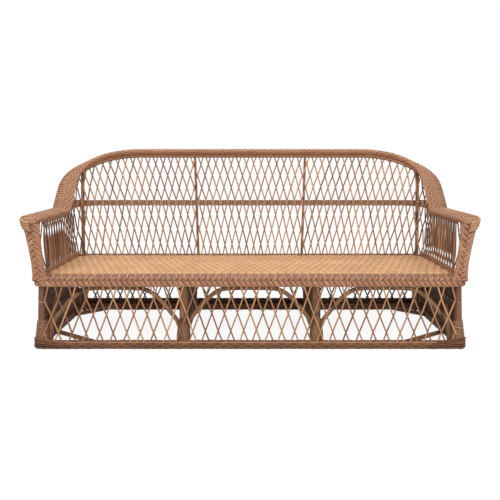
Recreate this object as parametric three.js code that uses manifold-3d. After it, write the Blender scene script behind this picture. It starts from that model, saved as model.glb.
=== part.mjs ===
// A three seat rattan garden sofa: bent poles, woven hoop rail, crossed strand lattice and woven border.
// Millimetres, +Z up. X runs along the sofa, and y grows from the front face (0) to the rear while the
// pieces are made; the finished group is centred on its footprint at the end.
import * as THREE from "three";
import { mergeVertices } from "three/addons/utils/BufferGeometryUtils.js";
import Module from "manifold-3d";

const wasm = await Module();
wasm.setup();

// General
const fit = 0.3; // clearance between neighbouring pieces
const weld = 1e-3; // distance under which two vertices are one
const overrun = 5; // how far a cutter or a piece to be trimmed runs past its seat
// Facets round each kind of pole and at each front corner of the deck
const sides = { pole: 10, thin: 8, hoopPole: 6, wrap: 14, deckCorner: 5 };

// Floor border, woven over the feet of the legs
const border = { halfWidth: 935, depth: 728, wide: 37, tall: 38, cornerRadius: 45, sideStart: 66 };

// How far pieces stand in from the outer faces of the border; a piece that stands out has a minus
const inset = {
  cornerLeg: 24,
  sideSkirt: 11,
  lowWall: 10,
  highWall: -22,
  braid: -12,
  sideRail: 31,
  rearFoot: 28,
  rearRail: 54,
  rearLowWall: 68,
  rearHighWall: -14,
  rearArch: 88,
  frontArch: 73,
};

// Strands of the lattices: width along the panel, thickness of one layer
const strand = { wide: 6.5, thick: 5, frontInset: 0.5 };

// Legs and corner poles; the middle legs stand at these shares of the half width
const bayShares = { front: 0.3155, rear: 0.3316, rearTop: 0.3166 };
const leg = {
  radius: 13,
  cornerX: border.halfWidth - inset.cornerLeg,
  frontMiddleX: border.halfWidth * bayShares.front,
  rearMiddleX: border.halfWidth * bayShares.rear,
  rearMiddleTopX: border.halfWidth * bayShares.rearTop,
  rearFootY: border.depth - inset.rearFoot,
  wrapWall: 3.8,
};
const legY = strand.frontInset + 2 * strand.thick + fit + leg.wrapWall + leg.radius;

// Seat frame and deck
const seat = {
  railRadius: 13,
  railZ: 286,
  railFall: 6, // the rear rail lies this much lower
  sideRailX: border.halfWidth - inset.sideRail,
  rearRailY: border.depth - inset.rearRail,
  bearerRadius: 10,
  bearerX: leg.frontMiddleX,
  deckThick: 13.7,
  deckCornerRadius: 60,
};
const deckUnder = seat.railZ + seat.railRadius + fit;
const deckTop = deckUnder + seat.deckThick;

// Plait along the seat edge and up the arms
const braid = {
  thick: 16,
  halfWidth: border.halfWidth - inset.braid,
  low: 270,
  cornerRadius: 42,
  returnLength: 60,
  armThick: 14,
  armWide: 85,
};
const frontRailY = braid.thick + fit + seat.railRadius;

// Levels of the hoop over the arms and over the back
const level = { arm: 563, back: 858, wallUnder: 8 };

// Walls of back and arms, ruled between a low and a high outline
const wallLow = {
  z: 310,
  halfWidth: border.halfWidth - inset.lowWall,
  rearY: border.depth - inset.rearLowWall,
  radius: 65,
};
const wallHigh = {
  z: level.back - level.wallUnder,
  halfWidth: border.halfWidth - inset.highWall,
  rearY: border.depth - inset.rearHighWall,
  radius: 167,
};
const weave = {
  backColumns: 17, // strand pitches from the middle of the back to the end of the corner
  armColumns: 10, // strand pitches from there to the front of the arm
  armFrontY: 27,
  cornerLapShare: 2.25, // pitches that the corner panel runs past the end of the corner
  lowRowZ: 305,
  lowEndZ: 270,
  armRowsShare: 2.6325, // rows from the lowest row to the arm rail
};
const rowPitch = (level.arm - weave.lowRowZ) / weave.armRowsShare;

// The flat back panel ends before the high outline's corner, and the corner panel past it. Both ends lie
// on a quarter of a pitch, clear of the crossings.
const quarterShare = 0.25;
const flatShare = (wallHigh.halfWidth - wallHigh.radius) / cornerEndOf(wallHigh);
const flatEnd = Math.floor(2 * (flatShare * weave.backColumns - quarterShare)) / 2 + quarterShare;
const cornerEnd = weave.backColumns + weave.cornerLapShare;

// Hoop: flat woven rail over two bent poles. It rises along a curve whose points lie before or beyond
// the line of the back.
const hoop = {
  halfWidth: 45,
  halfThick: 16,
  armZ: level.arm,
  backZ: level.back,
  startBefore: 287,
  lowBefore: 258,
  highBefore: 134,
  endBeyond: 289,
  backTilt: THREE.MathUtils.degToRad(15),
  poleRadius: 9,
  poleOffset: 26,
  poleDrop: 5,
  tipY: -6,
  noseLength: 28,
  riseSteps: 13,
};

// Thin posts behind the back lattice
const post = {
  radius: 7,
  behind: 22,
  cornerLowShare: 0.932, // of the run from the middle of the back to the end of the corner
  cornerHighShare: 0.872,
  middleShare: 0.292,
};

// Twined band across the back
const band = { low: 571, high: 600, thick: 5, sideReach: 48 };

// Skirts below the seat
const skirt = {
  columnsShare: 10.75, // strand pitches from the middle of the front to a corner wrap
  sideColumnsShare: 3.75,
  rowZ: 80,
  rowPitch: 100,
  sideX: border.halfWidth - inset.sideSkirt,
  rearLap: 12, // above the middle of the rear rail
};

// Bent arches
const arch = {
  radius: 11,
  topZ: 261,
  footZ: 2,
  footOffset: 12.8,
  cornerFootOffset: 28,
  shoulder: 200,
  sideFrontY: inset.frontArch,
  sideRearY: border.depth - inset.rearArch,
};
const archReach = arch.radius * Math.cos(Math.PI / sides.thin); // from the middle to a facet
const archY = border.wide + fit + archReach;
const sideArchX = border.halfWidth - border.wide - fit - archReach;

// Wraps at the feet
const wrap = { top: 120, radius: 22, rearRadius: 17.5, middleHalfWidth: 29 };

// Braces across the corners of the floor border
const brace = { radius: 10, z: 18, frontReachX: 230, frontReachY: 209, rearReachX: 165, rearReachY: 158 };

const rattan = { pole: 0xb98558, strand: 0xb27c50, woven: 0xa8744c, deck: 0xd6a878, dark: 0x8a5a3c };

function material(color) {
  return new THREE.MeshStandardMaterial({ color, roughness: 0.6, metalness: 0 });
}

// Solids and cuts

function solid(geometry) {
  const soup = geometry.index ? geometry.toNonIndexed() : geometry;
  const bare = new THREE.BufferGeometry().setAttribute("position", soup.getAttribute("position"));
  const merged = mergeVertices(bare, weld);
  return new wasm.Manifold(
    new wasm.Mesh({
      numProp: 3,
      vertProperties: merged.attributes.position.array,
      triVerts: new Uint32Array(merged.index.array),
    }),
  );
}

function geometryOf(made) {
  const mesh = made.getMesh();
  const geometry = new THREE.BufferGeometry();
  const count = mesh.vertProperties.length / mesh.numProp;
  const places = new Float32Array(count * 3);
  for (let i = 0; i < count; i += 1) {
    for (let k = 0; k < 3; k += 1) places[3 * i + k] = mesh.vertProperties[mesh.numProp * i + k];
  }
  geometry.setAttribute("position", new THREE.BufferAttribute(places, 3));
  geometry.setIndex([...mesh.triVerts]);
  return geometry;
}

// What is left of a piece round its neighbours: its largest body, the crumbs beyond them dropped.
function trimmed(geometry, neighbours) {
  let rest = solid(geometry);
  for (const neighbour of neighbours) rest = rest.subtract(solid(neighbour));
  const bodies = rest.decompose().sort((a, b) => b.volume() - a.volume());
  return geometryOf(bodies[0]);
}

function signedVolume(places, index) {
  const [a, b, c] = [new THREE.Vector3(), new THREE.Vector3(), new THREE.Vector3()];
  let volume = 0;
  for (let i = 0; i < index.length; i += 3) {
    a.fromArray(places, 3 * index[i]);
    b.fromArray(places, 3 * index[i + 1]);
    c.fromArray(places, 3 * index[i + 2]);
    volume += a.dot(b.cross(c)) / 6;
  }
  return volume;
}

// A closed geometry from vertices and triangles, turned so that its faces point out.
function closed(vertices, triangles) {
  const places = vertices.flatMap((v) => [v.x, v.y, v.z]);
  const index = triangles.flat();
  if (signedVolume(places, index) < 0) {
    for (let i = 0; i < index.length; i += 3) [index[i + 1], index[i + 2]] = [index[i + 2], index[i + 1]];
  }
  const geometry = new THREE.BufferGeometry();
  geometry.setAttribute("position", new THREE.Float32BufferAttribute(places, 3));
  geometry.setIndex(index);
  return geometry;
}

// The same piece on the other side of the sofa.
function mirrored(geometry) {
  const index = geometry.index ? [...geometry.index.array] : [];
  const position = geometry.getAttribute("position");
  const vertices = [];
  for (let i = 0; i < position.count; i += 1) {
    vertices.push(new THREE.Vector3(-position.getX(i), position.getY(i), position.getZ(i)));
  }
  if (!index.length) for (let i = 0; i < position.count; i += 1) index.push(i);
  const triangles = [];
  for (let i = 0; i < index.length; i += 3) triangles.push([index[i], index[i + 2], index[i + 1]]);
  return closed(vertices, triangles);
}

// Lofts and poles

function vec(x, y, z) {
  return new THREE.Vector3(x, y, z);
}

// A loft of one outline through frames. Each frame has an origin, the directions across and up, and
// how much the outline widens there. An even loft splits its quads alike on both sides of its middle.
function loft(outline, frames, even = false) {
  const vertices = [];
  for (const frame of frames) {
    for (const p of outline) {
      const across = frame.across.clone().multiplyScalar(p.x * (frame.widen ?? 1));
      const up = frame.up.clone().multiplyScalar(p.y * (frame.thicken ?? 1));
      vertices.push(frame.origin.clone().add(across).add(up));
    }
  }
  const n = outline.length;
  const triangles = [];
  for (let ring = 0; ring + 1 < frames.length; ring += 1) {
    for (let i = 0; i < n; i += 1) {
      const a = ring * n + i;
      const b = ring * n + ((i + 1) % n);
      const other = even && ring >= (frames.length - 1) / 2;
      if (other) triangles.push([a, b, a + n], [b, b + n, a + n]);
      else triangles.push([a, b, b + n], [a, b + n, a + n]);
    }
  }
  const cap = THREE.ShapeUtils.triangulateShape(outline, []);
  const turned = THREE.ShapeUtils.isClockWise(outline);
  const last = (frames.length - 1) * n;
  for (const [a, b, c] of cap) {
    const [second, third] = turned ? [c, b] : [b, c];
    triangles.push([a, third, second], [last + a, last + second, last + third]);
  }
  return closed(vertices, triangles);
}

function circle(radius, count, turn = 0) {
  const points = [];
  for (let i = 0; i < count; i += 1) {
    const angle = turn + (2 * Math.PI * i) / count;
    points.push(new THREE.Vector2(radius * Math.cos(angle), radius * Math.sin(angle)));
  }
  return points;
}

function roundedBox(halfWide, halfTall, corner) {
  return [
    [halfWide, -halfTall + corner],
    [halfWide, halfTall - corner],
    [halfWide - corner, halfTall],
    [-halfWide + corner, halfTall],
    [-halfWide, halfTall - corner],
    [-halfWide, -halfTall + corner],
    [-halfWide + corner, -halfTall],
    [halfWide - corner, -halfTall],
  ].map(([x, y]) => new THREE.Vector2(x, y));
}

// An upright pole, round in plan, from a foot to a top.
function uprightPole(places, radius, count = sides.pole) {
  const frames = places.map((origin) => ({ origin, across: vec(1, 0, 0), up: vec(0, 1, 0) }));
  return loft(circle(radius, count, Math.PI / count), frames);
}

// A lying pole between two places, round across its length.
function lyingPole(from, to, radius, count = sides.pole) {
  const along = to.clone().sub(from).normalize();
  const across = vec(0, 0, 1).cross(along).normalize();
  const up = along.clone().cross(across);
  const frames = [from, to].map((origin) => ({ origin, across, up }));
  return loft(circle(radius, count, Math.PI / count), frames);
}

// Frames along a curve that stays level across, the outline's up turned by the tilt at each place.
function framesAlong(places, tilts = []) {
  return places.map((origin, i) => {
    const before = places[Math.max(i - 1, 0)];
    const after = places[Math.min(i + 1, places.length - 1)];
    const along = after.clone().sub(before).normalize();
    const across = along.clone().cross(vec(0, 0, 1)).normalize();
    const up = across.clone().cross(along).normalize();
    const tilt = tilts[i] ?? 0;
    across.applyAxisAngle(along, tilt);
    up.applyAxisAngle(along, tilt);
    return { origin, across, up };
  });
}

// The plan outline of a wall: straight back, round corner, straight side. Distance runs from the middle
// of the back.
function planPlace(outline, distance) {
  const side = Math.sign(distance) || 1;
  const run = Math.abs(distance);
  const straight = outline.halfWidth - outline.radius;
  const quarter = (outline.radius * Math.PI) / 2;
  if (run <= straight) return { x: side * run, y: outline.rearY, out: vec(0, 1, 0) };
  if (run <= straight + quarter) {
    const turn = (run - straight) / outline.radius;
    return {
      x: side * (straight + outline.radius * Math.sin(turn)),
      y: outline.rearY - outline.radius + outline.radius * Math.cos(turn),
      out: vec(side * Math.sin(turn), Math.cos(turn), 0),
    };
  }
  return {
    x: side * outline.halfWidth,
    y: outline.rearY - outline.radius - (run - straight - quarter),
    out: vec(side, 0, 0),
  };
}

function cornerEndOf(outline) {
  return outline.halfWidth - outline.radius + (outline.radius * Math.PI) / 2;
}

function wallDistance(outline, column) {
  const run = Math.abs(column);
  const corner = cornerEndOf(outline);
  const side = outline.rearY - outline.radius - weave.armFrontY;
  const back = (Math.min(run, weave.backColumns) / weave.backColumns) * corner;
  const arm = (Math.max(run - weave.backColumns, 0) / weave.armColumns) * side;
  return Math.sign(column) * (back + arm);
}

// A place on the wall of back and arms: column in strand pitches, height, and distance outward.
function wallPlace(column, z, outward = 0) {
  const low = planPlace(wallLow, wallDistance(wallLow, column));
  const high = planPlace(wallHigh, wallDistance(wallHigh, column));
  const share = (z - wallLow.z) / (wallHigh.z - wallLow.z);
  const out = low.out.clone().lerp(high.out, share).normalize();
  return vec(THREE.MathUtils.lerp(low.x, high.x, share), THREE.MathUtils.lerp(low.y, high.y, share), z)
    .addScaledVector(out, outward);
}

function wallRowZ(row) {
  return weave.lowRowZ + rowPitch * row;
}

function wallRowAt(z) {
  return (z - weave.lowRowZ) / rowPitch;
}

const clearShare = 0.02; // of a row, between the end of a strand and a crossing

// Lattice of crossed strands in two layers, one body joined where the strands cross. A strand moves half
// a pitch per row; crossings lie on whole rows. place(column, row, outward) gives the surface.
function lattice({ place, from, to, lowRow, highRow, topRowAt = () => highRow, pitch, bends = [] }) {
  const half = strand.wide / 2 / pitch; // half a strand, in columns
  const vertices = [];
  const numbers = new Map();
  const vertex = (column, row, outward) => {
    const key = `${column.toFixed(4)} ${row.toFixed(4)} ${outward}`;
    if (!numbers.has(key)) {
      numbers.set(key, vertices.length);
      vertices.push(place(column, row, outward));
    }
    return numbers.get(key);
  };
  const triangles = [];
  const quad = (a, b, c, d) => triangles.push([a, b, c], [a, c, d]);

  // A wall between an outer edge and an edge on the middle plane, both rising.
  const wall = (outer, middle, flip) => {
    let i = 0;
    let k = 0;
    const push = (a, b, c) => triangles.push(flip ? [a, c, b] : [a, b, c]);
    while (i + 1 < outer.length || k + 1 < middle.length) {
      const outerNext = i + 1 < outer.length ? outer[i + 1].row : Infinity;
      const middleNext = k + 1 < middle.length ? middle[k + 1].row : Infinity;
      if (outerNext <= middleNext) {
        push(outer[i].id, middle[k].id, outer[i + 1].id);
        i += 1;
      } else {
        push(outer[i].id, middle[k].id, middle[k + 1].id);
        k += 1;
      }
    }
  };

  // A strand ends clear of its crossings: above the last one that fits under the top, below the next.
  const clear = 2 * half + clearShare;
  const topOf = (start, slope) => {
    const topAt = (row) => topRowAt(THREE.MathUtils.clamp(start + slope * row, from, to));
    let row = Math.ceil(lowRow);
    while (row + 1 < highRow && topAt(row + 1) > row + 1 + clear) row += 1;
    return THREE.MathUtils.clamp(topAt(row + 1), row + clear, row + 1 - clear);
  };
  const clip = (start, slope) => {
    const rows = [lowRow, topOf(start, slope)];
    const atEnd = rows.map((row) => start + slope * row);
    const ends = rows.map((row, i) => {
      const edge = THREE.MathUtils.clamp(atEnd[i], from, to);
      return edge === atEnd[i] ? { row } : { row: (edge - start) / slope, edge };
    });
    return ends[1].row > ends[0].row ? ends : null;
  };

  const first = Math.floor(from - highRow / 2) - 1;
  const last = Math.ceil(to + highRow / 2) + 1;
  const crossingsOf = (start, slope, ends) => {
    const found = [];
    for (let row = Math.ceil(lowRow); row <= highRow; row += 1) {
      const column = start + slope * row;
      const inside = row > ends[0].row && row < ends[1].row && column > from && column < to;
      if (inside) found.push({ row, column });
    }
    return found;
  };

  for (const slope of [0.5, -0.5]) {
    const outward = slope > 0 ? strand.thick : -strand.thick;
    for (let start = first; start <= last; start += 1) {
      const ends = clip(start, slope);
      if (!ends) continue;
      const crossings = crossingsOf(start, slope, ends);
      if (!crossings.length) continue;
      const edgeRow = (end, shift) => (end.edge === undefined ? end.row : (end.edge - start - shift) / slope);
      const edges = [-half, half].map((shift) => {
        const middle = [edgeRow(ends[0], shift)];
        for (const { row } of crossings) {
          const lower = slope > 0 === shift < 0 ? row : row - 2 * half;
          middle.push(lower, lower + 2 * half);
        }
        middle.push(edgeRow(ends[1], shift));
        const bent = bends.filter((row) => row > middle[0] + half && row < middle.at(-1) - half);
        const outer = [middle[0], ...bent, middle.at(-1)];
        const made = (rows, out) =>
          rows.map((row) => ({ row, id: vertex(start + slope * row + shift, row, out) }));
        return { middle: made(middle, 0), outer: made(outer, outward) };
      });
      const [left, right] = edges;
      const turned = slope < 0;
      for (let i = 0; i + 1 < left.middle.length; i += 2) {
        const ring = [left.middle[i], left.middle[i + 1], right.middle[i + 1], right.middle[i]];
        if (turned) ring.reverse();
        quad(...ring.map((v) => v.id));
      }
      for (let i = 0; i + 1 < Math.min(left.outer.length, right.outer.length); i += 1) {
        const ring = [left.outer[i], right.outer[i], right.outer[i + 1], left.outer[i + 1]];
        if (turned) ring.reverse();
        quad(...ring.map((v) => v.id));
      }
      wall(left.outer, left.middle, !turned);
      wall(right.outer, right.middle, turned);
      const lowCap = [left.middle[0], right.middle[0], right.outer[0], left.outer[0]];
      const highCap = [left.outer.at(-1), right.outer.at(-1), right.middle.at(-1), left.middle.at(-1)];
      for (const cap of [lowCap, highCap]) {
        if (turned) cap.reverse();
        quad(...cap.map((v) => v.id));
      }
    }
  }
  return closed(vertices, triangles);
}

// Corner poles, legs and wraps

function cornerPoleX(z) {
  const bendZ = seat.railZ;
  const topZ = hoop.armZ;
  const share = THREE.MathUtils.clamp((z - bendZ) / (topZ - bendZ), 0, 1);
  return THREE.MathUtils.lerp(leg.cornerX, wallHigh.halfWidth, share);
}

function cornerPole(clearance = 0) {
  const heights = [-clearance, seat.railZ, hoop.armZ + clearance];
  return uprightPole(heights.map((z) => vec(-cornerPoleX(z), legY, z)), leg.radius + clearance);
}

function frontMiddleLeg(clearance = 0) {
  const top = seat.railZ - seat.railRadius - fit;
  const x = -leg.frontMiddleX;
  return uprightPole([vec(x, legY, -clearance), vec(x, legY, top)], leg.radius + clearance);
}

const rearLegTop = seat.railZ - seat.railFall - seat.railRadius - fit;

function rearCornerLeg(clearance = 0) {
  const places = [
    vec(-leg.cornerX, leg.rearFootY, -clearance),
    vec(-leg.cornerX, seat.rearRailY, rearLegTop),
  ];
  return uprightPole(places, leg.radius + clearance);
}

function rearMiddleLeg(clearance = 0) {
  const places = [
    vec(-leg.rearMiddleX, leg.rearFootY, -clearance),
    vec(-leg.rearMiddleTopX, seat.rearRailY, rearLegTop),
  ];
  return uprightPole(places, leg.radius + clearance);
}

function footWrap(x, y, halfWide, halfDeep, poles) {
  const low = border.tall + fit;
  const outline = circle(1, sides.wrap).map((p) => new THREE.Vector2(p.x * halfWide, p.y * halfDeep));
  const frames = [low, wrap.top].map((z) => ({
    origin: vec(x, y, z),
    across: vec(1, 0, 0),
    up: vec(0, 1, 0),
  }));
  return trimmed(loft(outline, frames), poles);
}

function rearLegPlace(x, topX, share) {
  return vec(
    -THREE.MathUtils.lerp(x, topX, share),
    THREE.MathUtils.lerp(leg.rearFootY, seat.rearRailY, share),
    rearLegTop * share,
  );
}

function rearWrap(pole, x, topX) {
  const places = [border.tall + fit, wrap.top].map((z) => rearLegPlace(x, topX, z / rearLegTop));
  return trimmed(uprightPole(places, wrap.rearRadius, sides.wrap), [pole]);
}

// Arches: upright feet, shoulders that lean in, and a flat top

const archShoulderShares = [
  [0, 0.2],
  [0.03, 0.38],
  [0.2, 0.57],
  [0.45, 0.8],
  [0.7, 0.95],
  [1, 1],
];

function archPlaces(fromX, toX, place) {
  const rise = arch.topZ - arch.footZ;
  const places = [place(fromX, arch.footZ)];
  const width = Math.sign(toX - fromX) * arch.shoulder;
  for (const [across, up] of archShoulderShares) {
    places.push(place(fromX + across * width, arch.footZ + up * rise));
  }
  for (const [across, up] of archShoulderShares.toReversed()) {
    places.push(place(toX - across * width, arch.footZ + up * rise));
  }
  places.push(place(toX, arch.footZ));
  return places;
}

// The outline of an arch stays square to its plane.
function archLoft(places, normal, clearance) {
  const frames = places.map((origin, i) => {
    const before = places[Math.max(i - 1, 0)];
    const after = places[Math.min(i + 1, places.length - 1)];
    const along = after.clone().sub(before).normalize();
    return { origin, across: along.cross(normal), up: normal };
  });
  return loft(circle(arch.radius + clearance, sides.thin, Math.PI / sides.thin), frames);
}

function frontArch(fromX, toX, clearance = 0) {
  return archLoft(archPlaces(fromX, toX, (x, z) => vec(x, archY, z)), vec(0, 1, 0), clearance);
}

function sideArch(clearance = 0) {
  const places = archPlaces(arch.sideFrontY, arch.sideRearY, (y, z) => vec(-sideArchX, y, z));
  return archLoft(places, vec(1, 0, 0), clearance);
}

const outerFoot = leg.cornerX - arch.cornerFootOffset;
const leftArchSpan = [-outerFoot, -leg.frontMiddleX - arch.footOffset];
const middleArchSpan = [-leg.frontMiddleX + arch.footOffset, leg.frontMiddleX - arch.footOffset];

// Seat

function sideRail(clearance = 0) {
  const front = frontRailY + seat.railRadius + fit;
  const rear = seat.rearRailY - seat.railRadius - fit;
  const from = vec(-seat.sideRailX, front, seat.railZ);
  const to = vec(-seat.sideRailX, rear, seat.railZ - seat.railFall);
  return lyingPole(from, to, seat.railRadius + clearance);
}

function frontRail() {
  const from = vec(-leg.cornerX, frontRailY, seat.railZ);
  const to = vec(leg.cornerX, frontRailY, seat.railZ);
  return trimmed(lyingPole(from, to, seat.railRadius), [cornerPole(fit), mirrored(cornerPole(fit))]);
}

function rearRail(clearance = 0) {
  const reach = seat.sideRailX + seat.railRadius;
  const z = seat.railZ - seat.railFall;
  const from = vec(-reach, seat.rearRailY, z);
  const to = vec(reach, seat.rearRailY, z);
  return lyingPole(from, to, seat.railRadius + clearance);
}

function bearer(x, clearance = 0) {
  const under = seat.railRadius - seat.bearerRadius - fit;
  const from = vec(x, frontRailY + seat.railRadius + fit, seat.railZ + under);
  const to = vec(x, seat.rearRailY - seat.railRadius - fit, seat.railZ - seat.railFall + under);
  return lyingPole(from, to, seat.bearerRadius + clearance, sides.thin);
}

function seatDeck() {
  const inside = strand.thick + fit;
  const halfWidth = -wallPlace(-cornerEnd, deckUnder, -inside).x;
  const rear = wallPlace(0, deckUnder - seat.railFall, -inside).y;
  const front = braid.thick + fit;
  const r = seat.deckCornerRadius;
  const frontRadius = braid.cornerRadius - braid.thick;
  const shape = new THREE.Shape();
  shape.absarc(-halfWidth + frontRadius, front + frontRadius, frontRadius, Math.PI, Math.PI * 1.5);
  shape.absarc(halfWidth - frontRadius, front + frontRadius, frontRadius, -Math.PI / 2, 0);
  shape.lineTo(halfWidth, rear - r);
  shape.absarc(halfWidth - r, rear - r, r, 0, Math.PI / 2);
  shape.absarc(-halfWidth + r, rear - r, r, Math.PI / 2, Math.PI);
  const extrusion = { depth: seat.deckThick, bevelEnabled: false, curveSegments: sides.deckCorner };
  const plate = new THREE.ExtrudeGeometry(shape, extrusion);
  const position = plate.getAttribute("position");
  for (let i = 0; i < position.count; i += 1) {
    const share = (position.getY(i) - front) / (seat.rearRailY - front);
    position.setZ(i, position.getZ(i) + deckUnder - share * seat.railFall);
  }
  return trimmed(plate, [cornerPole(fit), mirrored(cornerPole(fit))]);
}

// The plait lies on its edge round the front of the seat.
function seatBraid() {
  const middle = braid.thick / 2;
  const outline = { halfWidth: braid.halfWidth - middle, rearY: 0, radius: braid.cornerRadius - middle };
  const corner = cornerEndOf(outline);
  const straight = outline.halfWidth - outline.radius;
  const distances = [corner + braid.returnLength];
  const steps = 4;
  for (let i = 0; i <= steps; i += 1) distances.push(THREE.MathUtils.lerp(corner, straight, i / steps));
  const all = [...distances.map((d) => -d), ...distances.toReversed()];
  const z = (braid.low + deckTop) / 2;
  const places = all.map((d) => {
    const p = planPlace(outline, d);
    return vec(p.x, middle - p.y, z);
  });
  const frames = framesAlong(places);
  const tall = (deckTop - braid.low) / 2;
  const body = loft(roundedBox(middle, tall, middle / 2), frames);
  return trimmed(body, [cornerPole(fit), mirrored(cornerPole(fit))]);
}

const armBraidShares = [
  [0, 0.9],
  [0.1, 0.76],
  [0.32, 0.67],
  [0.6, 0.74],
  [0.84, 0.84],
  [1, 1],
];

function armBraid() {
  const low = deckTop + fit;
  const high = hoop.armZ - hoop.halfThick - fit;
  const frames = armBraidShares.map(([up, wide]) => {
    const z = THREE.MathUtils.lerp(low, high, up);
    const origin = vec(-cornerPoleX(z), braid.armThick / 2, z);
    return { origin, across: vec(1, 0, 0), up: vec(0, 1, 0), widen: wide };
  });
  return trimmed(loft(roundedBox(braid.armWide / 2, braid.armThick / 2, braid.armThick / 4), frames), [
    cornerPole(fit),
  ]);
}

// Hoop

const rise = new THREE.CubicBezierCurve(
  new THREE.Vector2(wallHigh.rearY - hoop.startBefore, hoop.armZ),
  new THREE.Vector2(wallHigh.rearY - hoop.lowBefore, hoop.armZ),
  new THREE.Vector2(wallHigh.rearY - hoop.highBefore, hoop.backZ),
  new THREE.Vector2(wallHigh.rearY + hoop.endBeyond, hoop.backZ),
);

function hoopStations() {
  const runs = [[hoop.noseLength + hoop.tipY, hoop.armZ]];
  for (let i = 0; i <= hoop.riseSteps; i += 1) {
    const p = rise.getPoint(i / hoop.riseSteps);
    runs.push([p.x, p.y]);
  }
  return runs;
}

// Height of the middle of the hoop at a run from the front, found by halving along the rise.
function hoopHeight(run) {
  if (run <= rise.v0.x) return hoop.armZ;
  if (run >= rise.v3.x) return hoop.backZ;
  let low = 0;
  let high = 1;
  const halvings = 30;
  for (let i = 0; i < halvings; i += 1) {
    const middle = (low + high) / 2;
    if (rise.getPoint(middle).x < run) low = middle;
    else high = middle;
  }
  return rise.getPoint(low).y;
}

// The frames of the hoop from the left tip to the right one. Run is measured from the front.
function hoopFrames(withNose) {
  const total = cornerEndOf(wallHigh) + wallHigh.rearY - wallHigh.radius;
  const half = hoopStations();
  const nose = [
    [hoop.tipY, hoop.armZ],
    [hoop.tipY + hoop.noseLength / 4, hoop.armZ],
  ];
  const left = withNose ? [...nose, ...half] : half;
  const placeOf = ([run, z], side) => {
    const p = planPlace(wallHigh, side * (total - run));
    return vec(p.x, p.y, z);
  };
  const places = [...left.map((s) => placeOf(s, -1)), ...left.toReversed().map((s) => placeOf(s, 1))];
  const tiltOf = ([, z]) => -hoop.backTilt * ((z - hoop.armZ) / (hoop.backZ - hoop.armZ));
  const tilts = [...left.map(tiltOf), ...left.toReversed().map(tiltOf)];
  const frames = framesAlong(places, tilts);
  if (withNose) {
    const noseShares = [
      [0.72, 0.5],
      [0.93, 0.86],
    ];
    noseShares.forEach(([wide, thick], i) => {
      for (const frame of [frames[i], frames[frames.length - 1 - i]]) {
        frame.widen = wide;
        frame.thicken = thick;
      }
    });
  }
  return frames;
}

const hoopCrownPower = 2.5; // how square the crown of the rail is
const hoopFlatShare = 0.94; // depth of the flat between the grooves, in half thicknesses

function hoopOval(angle, extra = 0) {
  const round = (t) => Math.sign(t) * Math.abs(t) ** (2 / hoopCrownPower);
  const x = (hoop.halfWidth + extra) * round(Math.cos(angle));
  const y = (hoop.halfThick + extra) * round(Math.sin(angle));
  return new THREE.Vector2(x, y);
}

// The cover's outline: crowned top and, below, two grooves that the poles lie in.
const crownSteps = 6;
const hoopLip = THREE.MathUtils.degToRad(38); // the crown runs this far below the middle on each side

function hoopCrown(extra = 0) {
  const points = [];
  for (let i = 0; i <= crownSteps; i += 1) {
    points.push(hoopOval(THREE.MathUtils.lerp(-hoopLip, Math.PI + hoopLip, i / crownSteps), extra));
  }
  return points;
}

function hoopOutline(filled, extra) {
  const ring = circle(hoop.poleRadius + fit * 1.4, sides.hoopPole, 0);
  const fromMouth = [...ring.slice(-1), ...ring.slice(0, -1)].toReversed();
  const corners = filled ? [fromMouth[0], fromMouth.at(-1)] : fromMouth;
  const groove = (centre) => corners.map((p) => new THREE.Vector2(centre + p.x, p.y - hoop.poleDrop - extra));
  const bottom = -hoop.halfThick * hoopFlatShare - extra;
  const inner = hoop.poleOffset - hoop.poleRadius;
  return [
    ...hoopCrown(extra),
    ...groove(-hoop.poleOffset),
    new THREE.Vector2(-inner + fit, bottom),
    new THREE.Vector2(inner - fit, bottom),
    ...groove(hoop.poleOffset),
  ];
}

function hoopCover() {
  return loft(hoopOutline(false, 0), hoopFrames(true), true);
}

function hoopPole(offset) {
  const ring = circle(hoop.poleRadius, sides.hoopPole, 0).toReversed(); // in the order of the grooves
  const outline = ring.map((p) => new THREE.Vector2(p.x + offset, p.y - hoop.poleDrop));
  return loft(outline, hoopFrames(false), true);
}

// The space that the hoop fills, to seat what meets it from below.
function hoopCutter() {
  return loft(hoopOutline(true, 1.5 * fit), hoopFrames(true), true);
}

// Back

function rearPost(lowShare, highShare) {
  const lowZ = seat.railZ - seat.railFall;
  const low = wallPlace(-lowShare * weave.backColumns, lowZ, post.behind);
  const high = wallPlace(-highShare * weave.backColumns, wallHigh.z, post.behind);
  const places = [low, high];
  return trimmed(uprightPole(places, post.radius, sides.thin), [rearRail(fit), hoopCutter()]);
}

const bandOut = strand.thick + fit + band.thick / 2;

function backBand(outward, clearance = 0) {
  const z = (band.low + band.high) / 2;
  const columns = [-weave.backColumns - band.sideReach / wallPitch];
  const steps = 7;
  for (let i = 0; i <= steps; i += 1) {
    columns.push(THREE.MathUtils.lerp(-weave.backColumns, -flatEnd, i / steps));
  }
  const all = [...columns, ...columns.toReversed().map((c) => -c)];
  const places = all.map((column) => wallPlace(column, z, outward));
  const frames = framesAlong(places).map(({ origin, across }, i) => {
    const up = wallPlace(all[i], band.high).sub(wallPlace(all[i], band.low)).normalize();
    return { origin, across: across.addScaledVector(up, -across.dot(up)).normalize(), up };
  });
  const tall = (band.high - band.low) / 2 + clearance;
  const bar = loft(roundedBox(band.thick / 2 + clearance, tall, band.thick / 4), frames, true);
  return clearance ? bar : trimmed(bar, [hoopCutter()]);
}

const wallPitch = cornerEndOf(wallLow) / weave.backColumns;

function wallLattice(from, to, bends, topZAt) {
  const place = (column, row, outward) => wallPlace(column, wallRowZ(row), outward);
  const topRowAt = (column) => wallRowAt(topZAt(column));
  const highRow = wallRowAt(hoop.backZ);
  const lowRow = wallRowAt(weave.lowEndZ);
  return lattice({ place, from, to, lowRow, highRow, topRowAt, pitch: wallPitch, bends });
}

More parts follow.
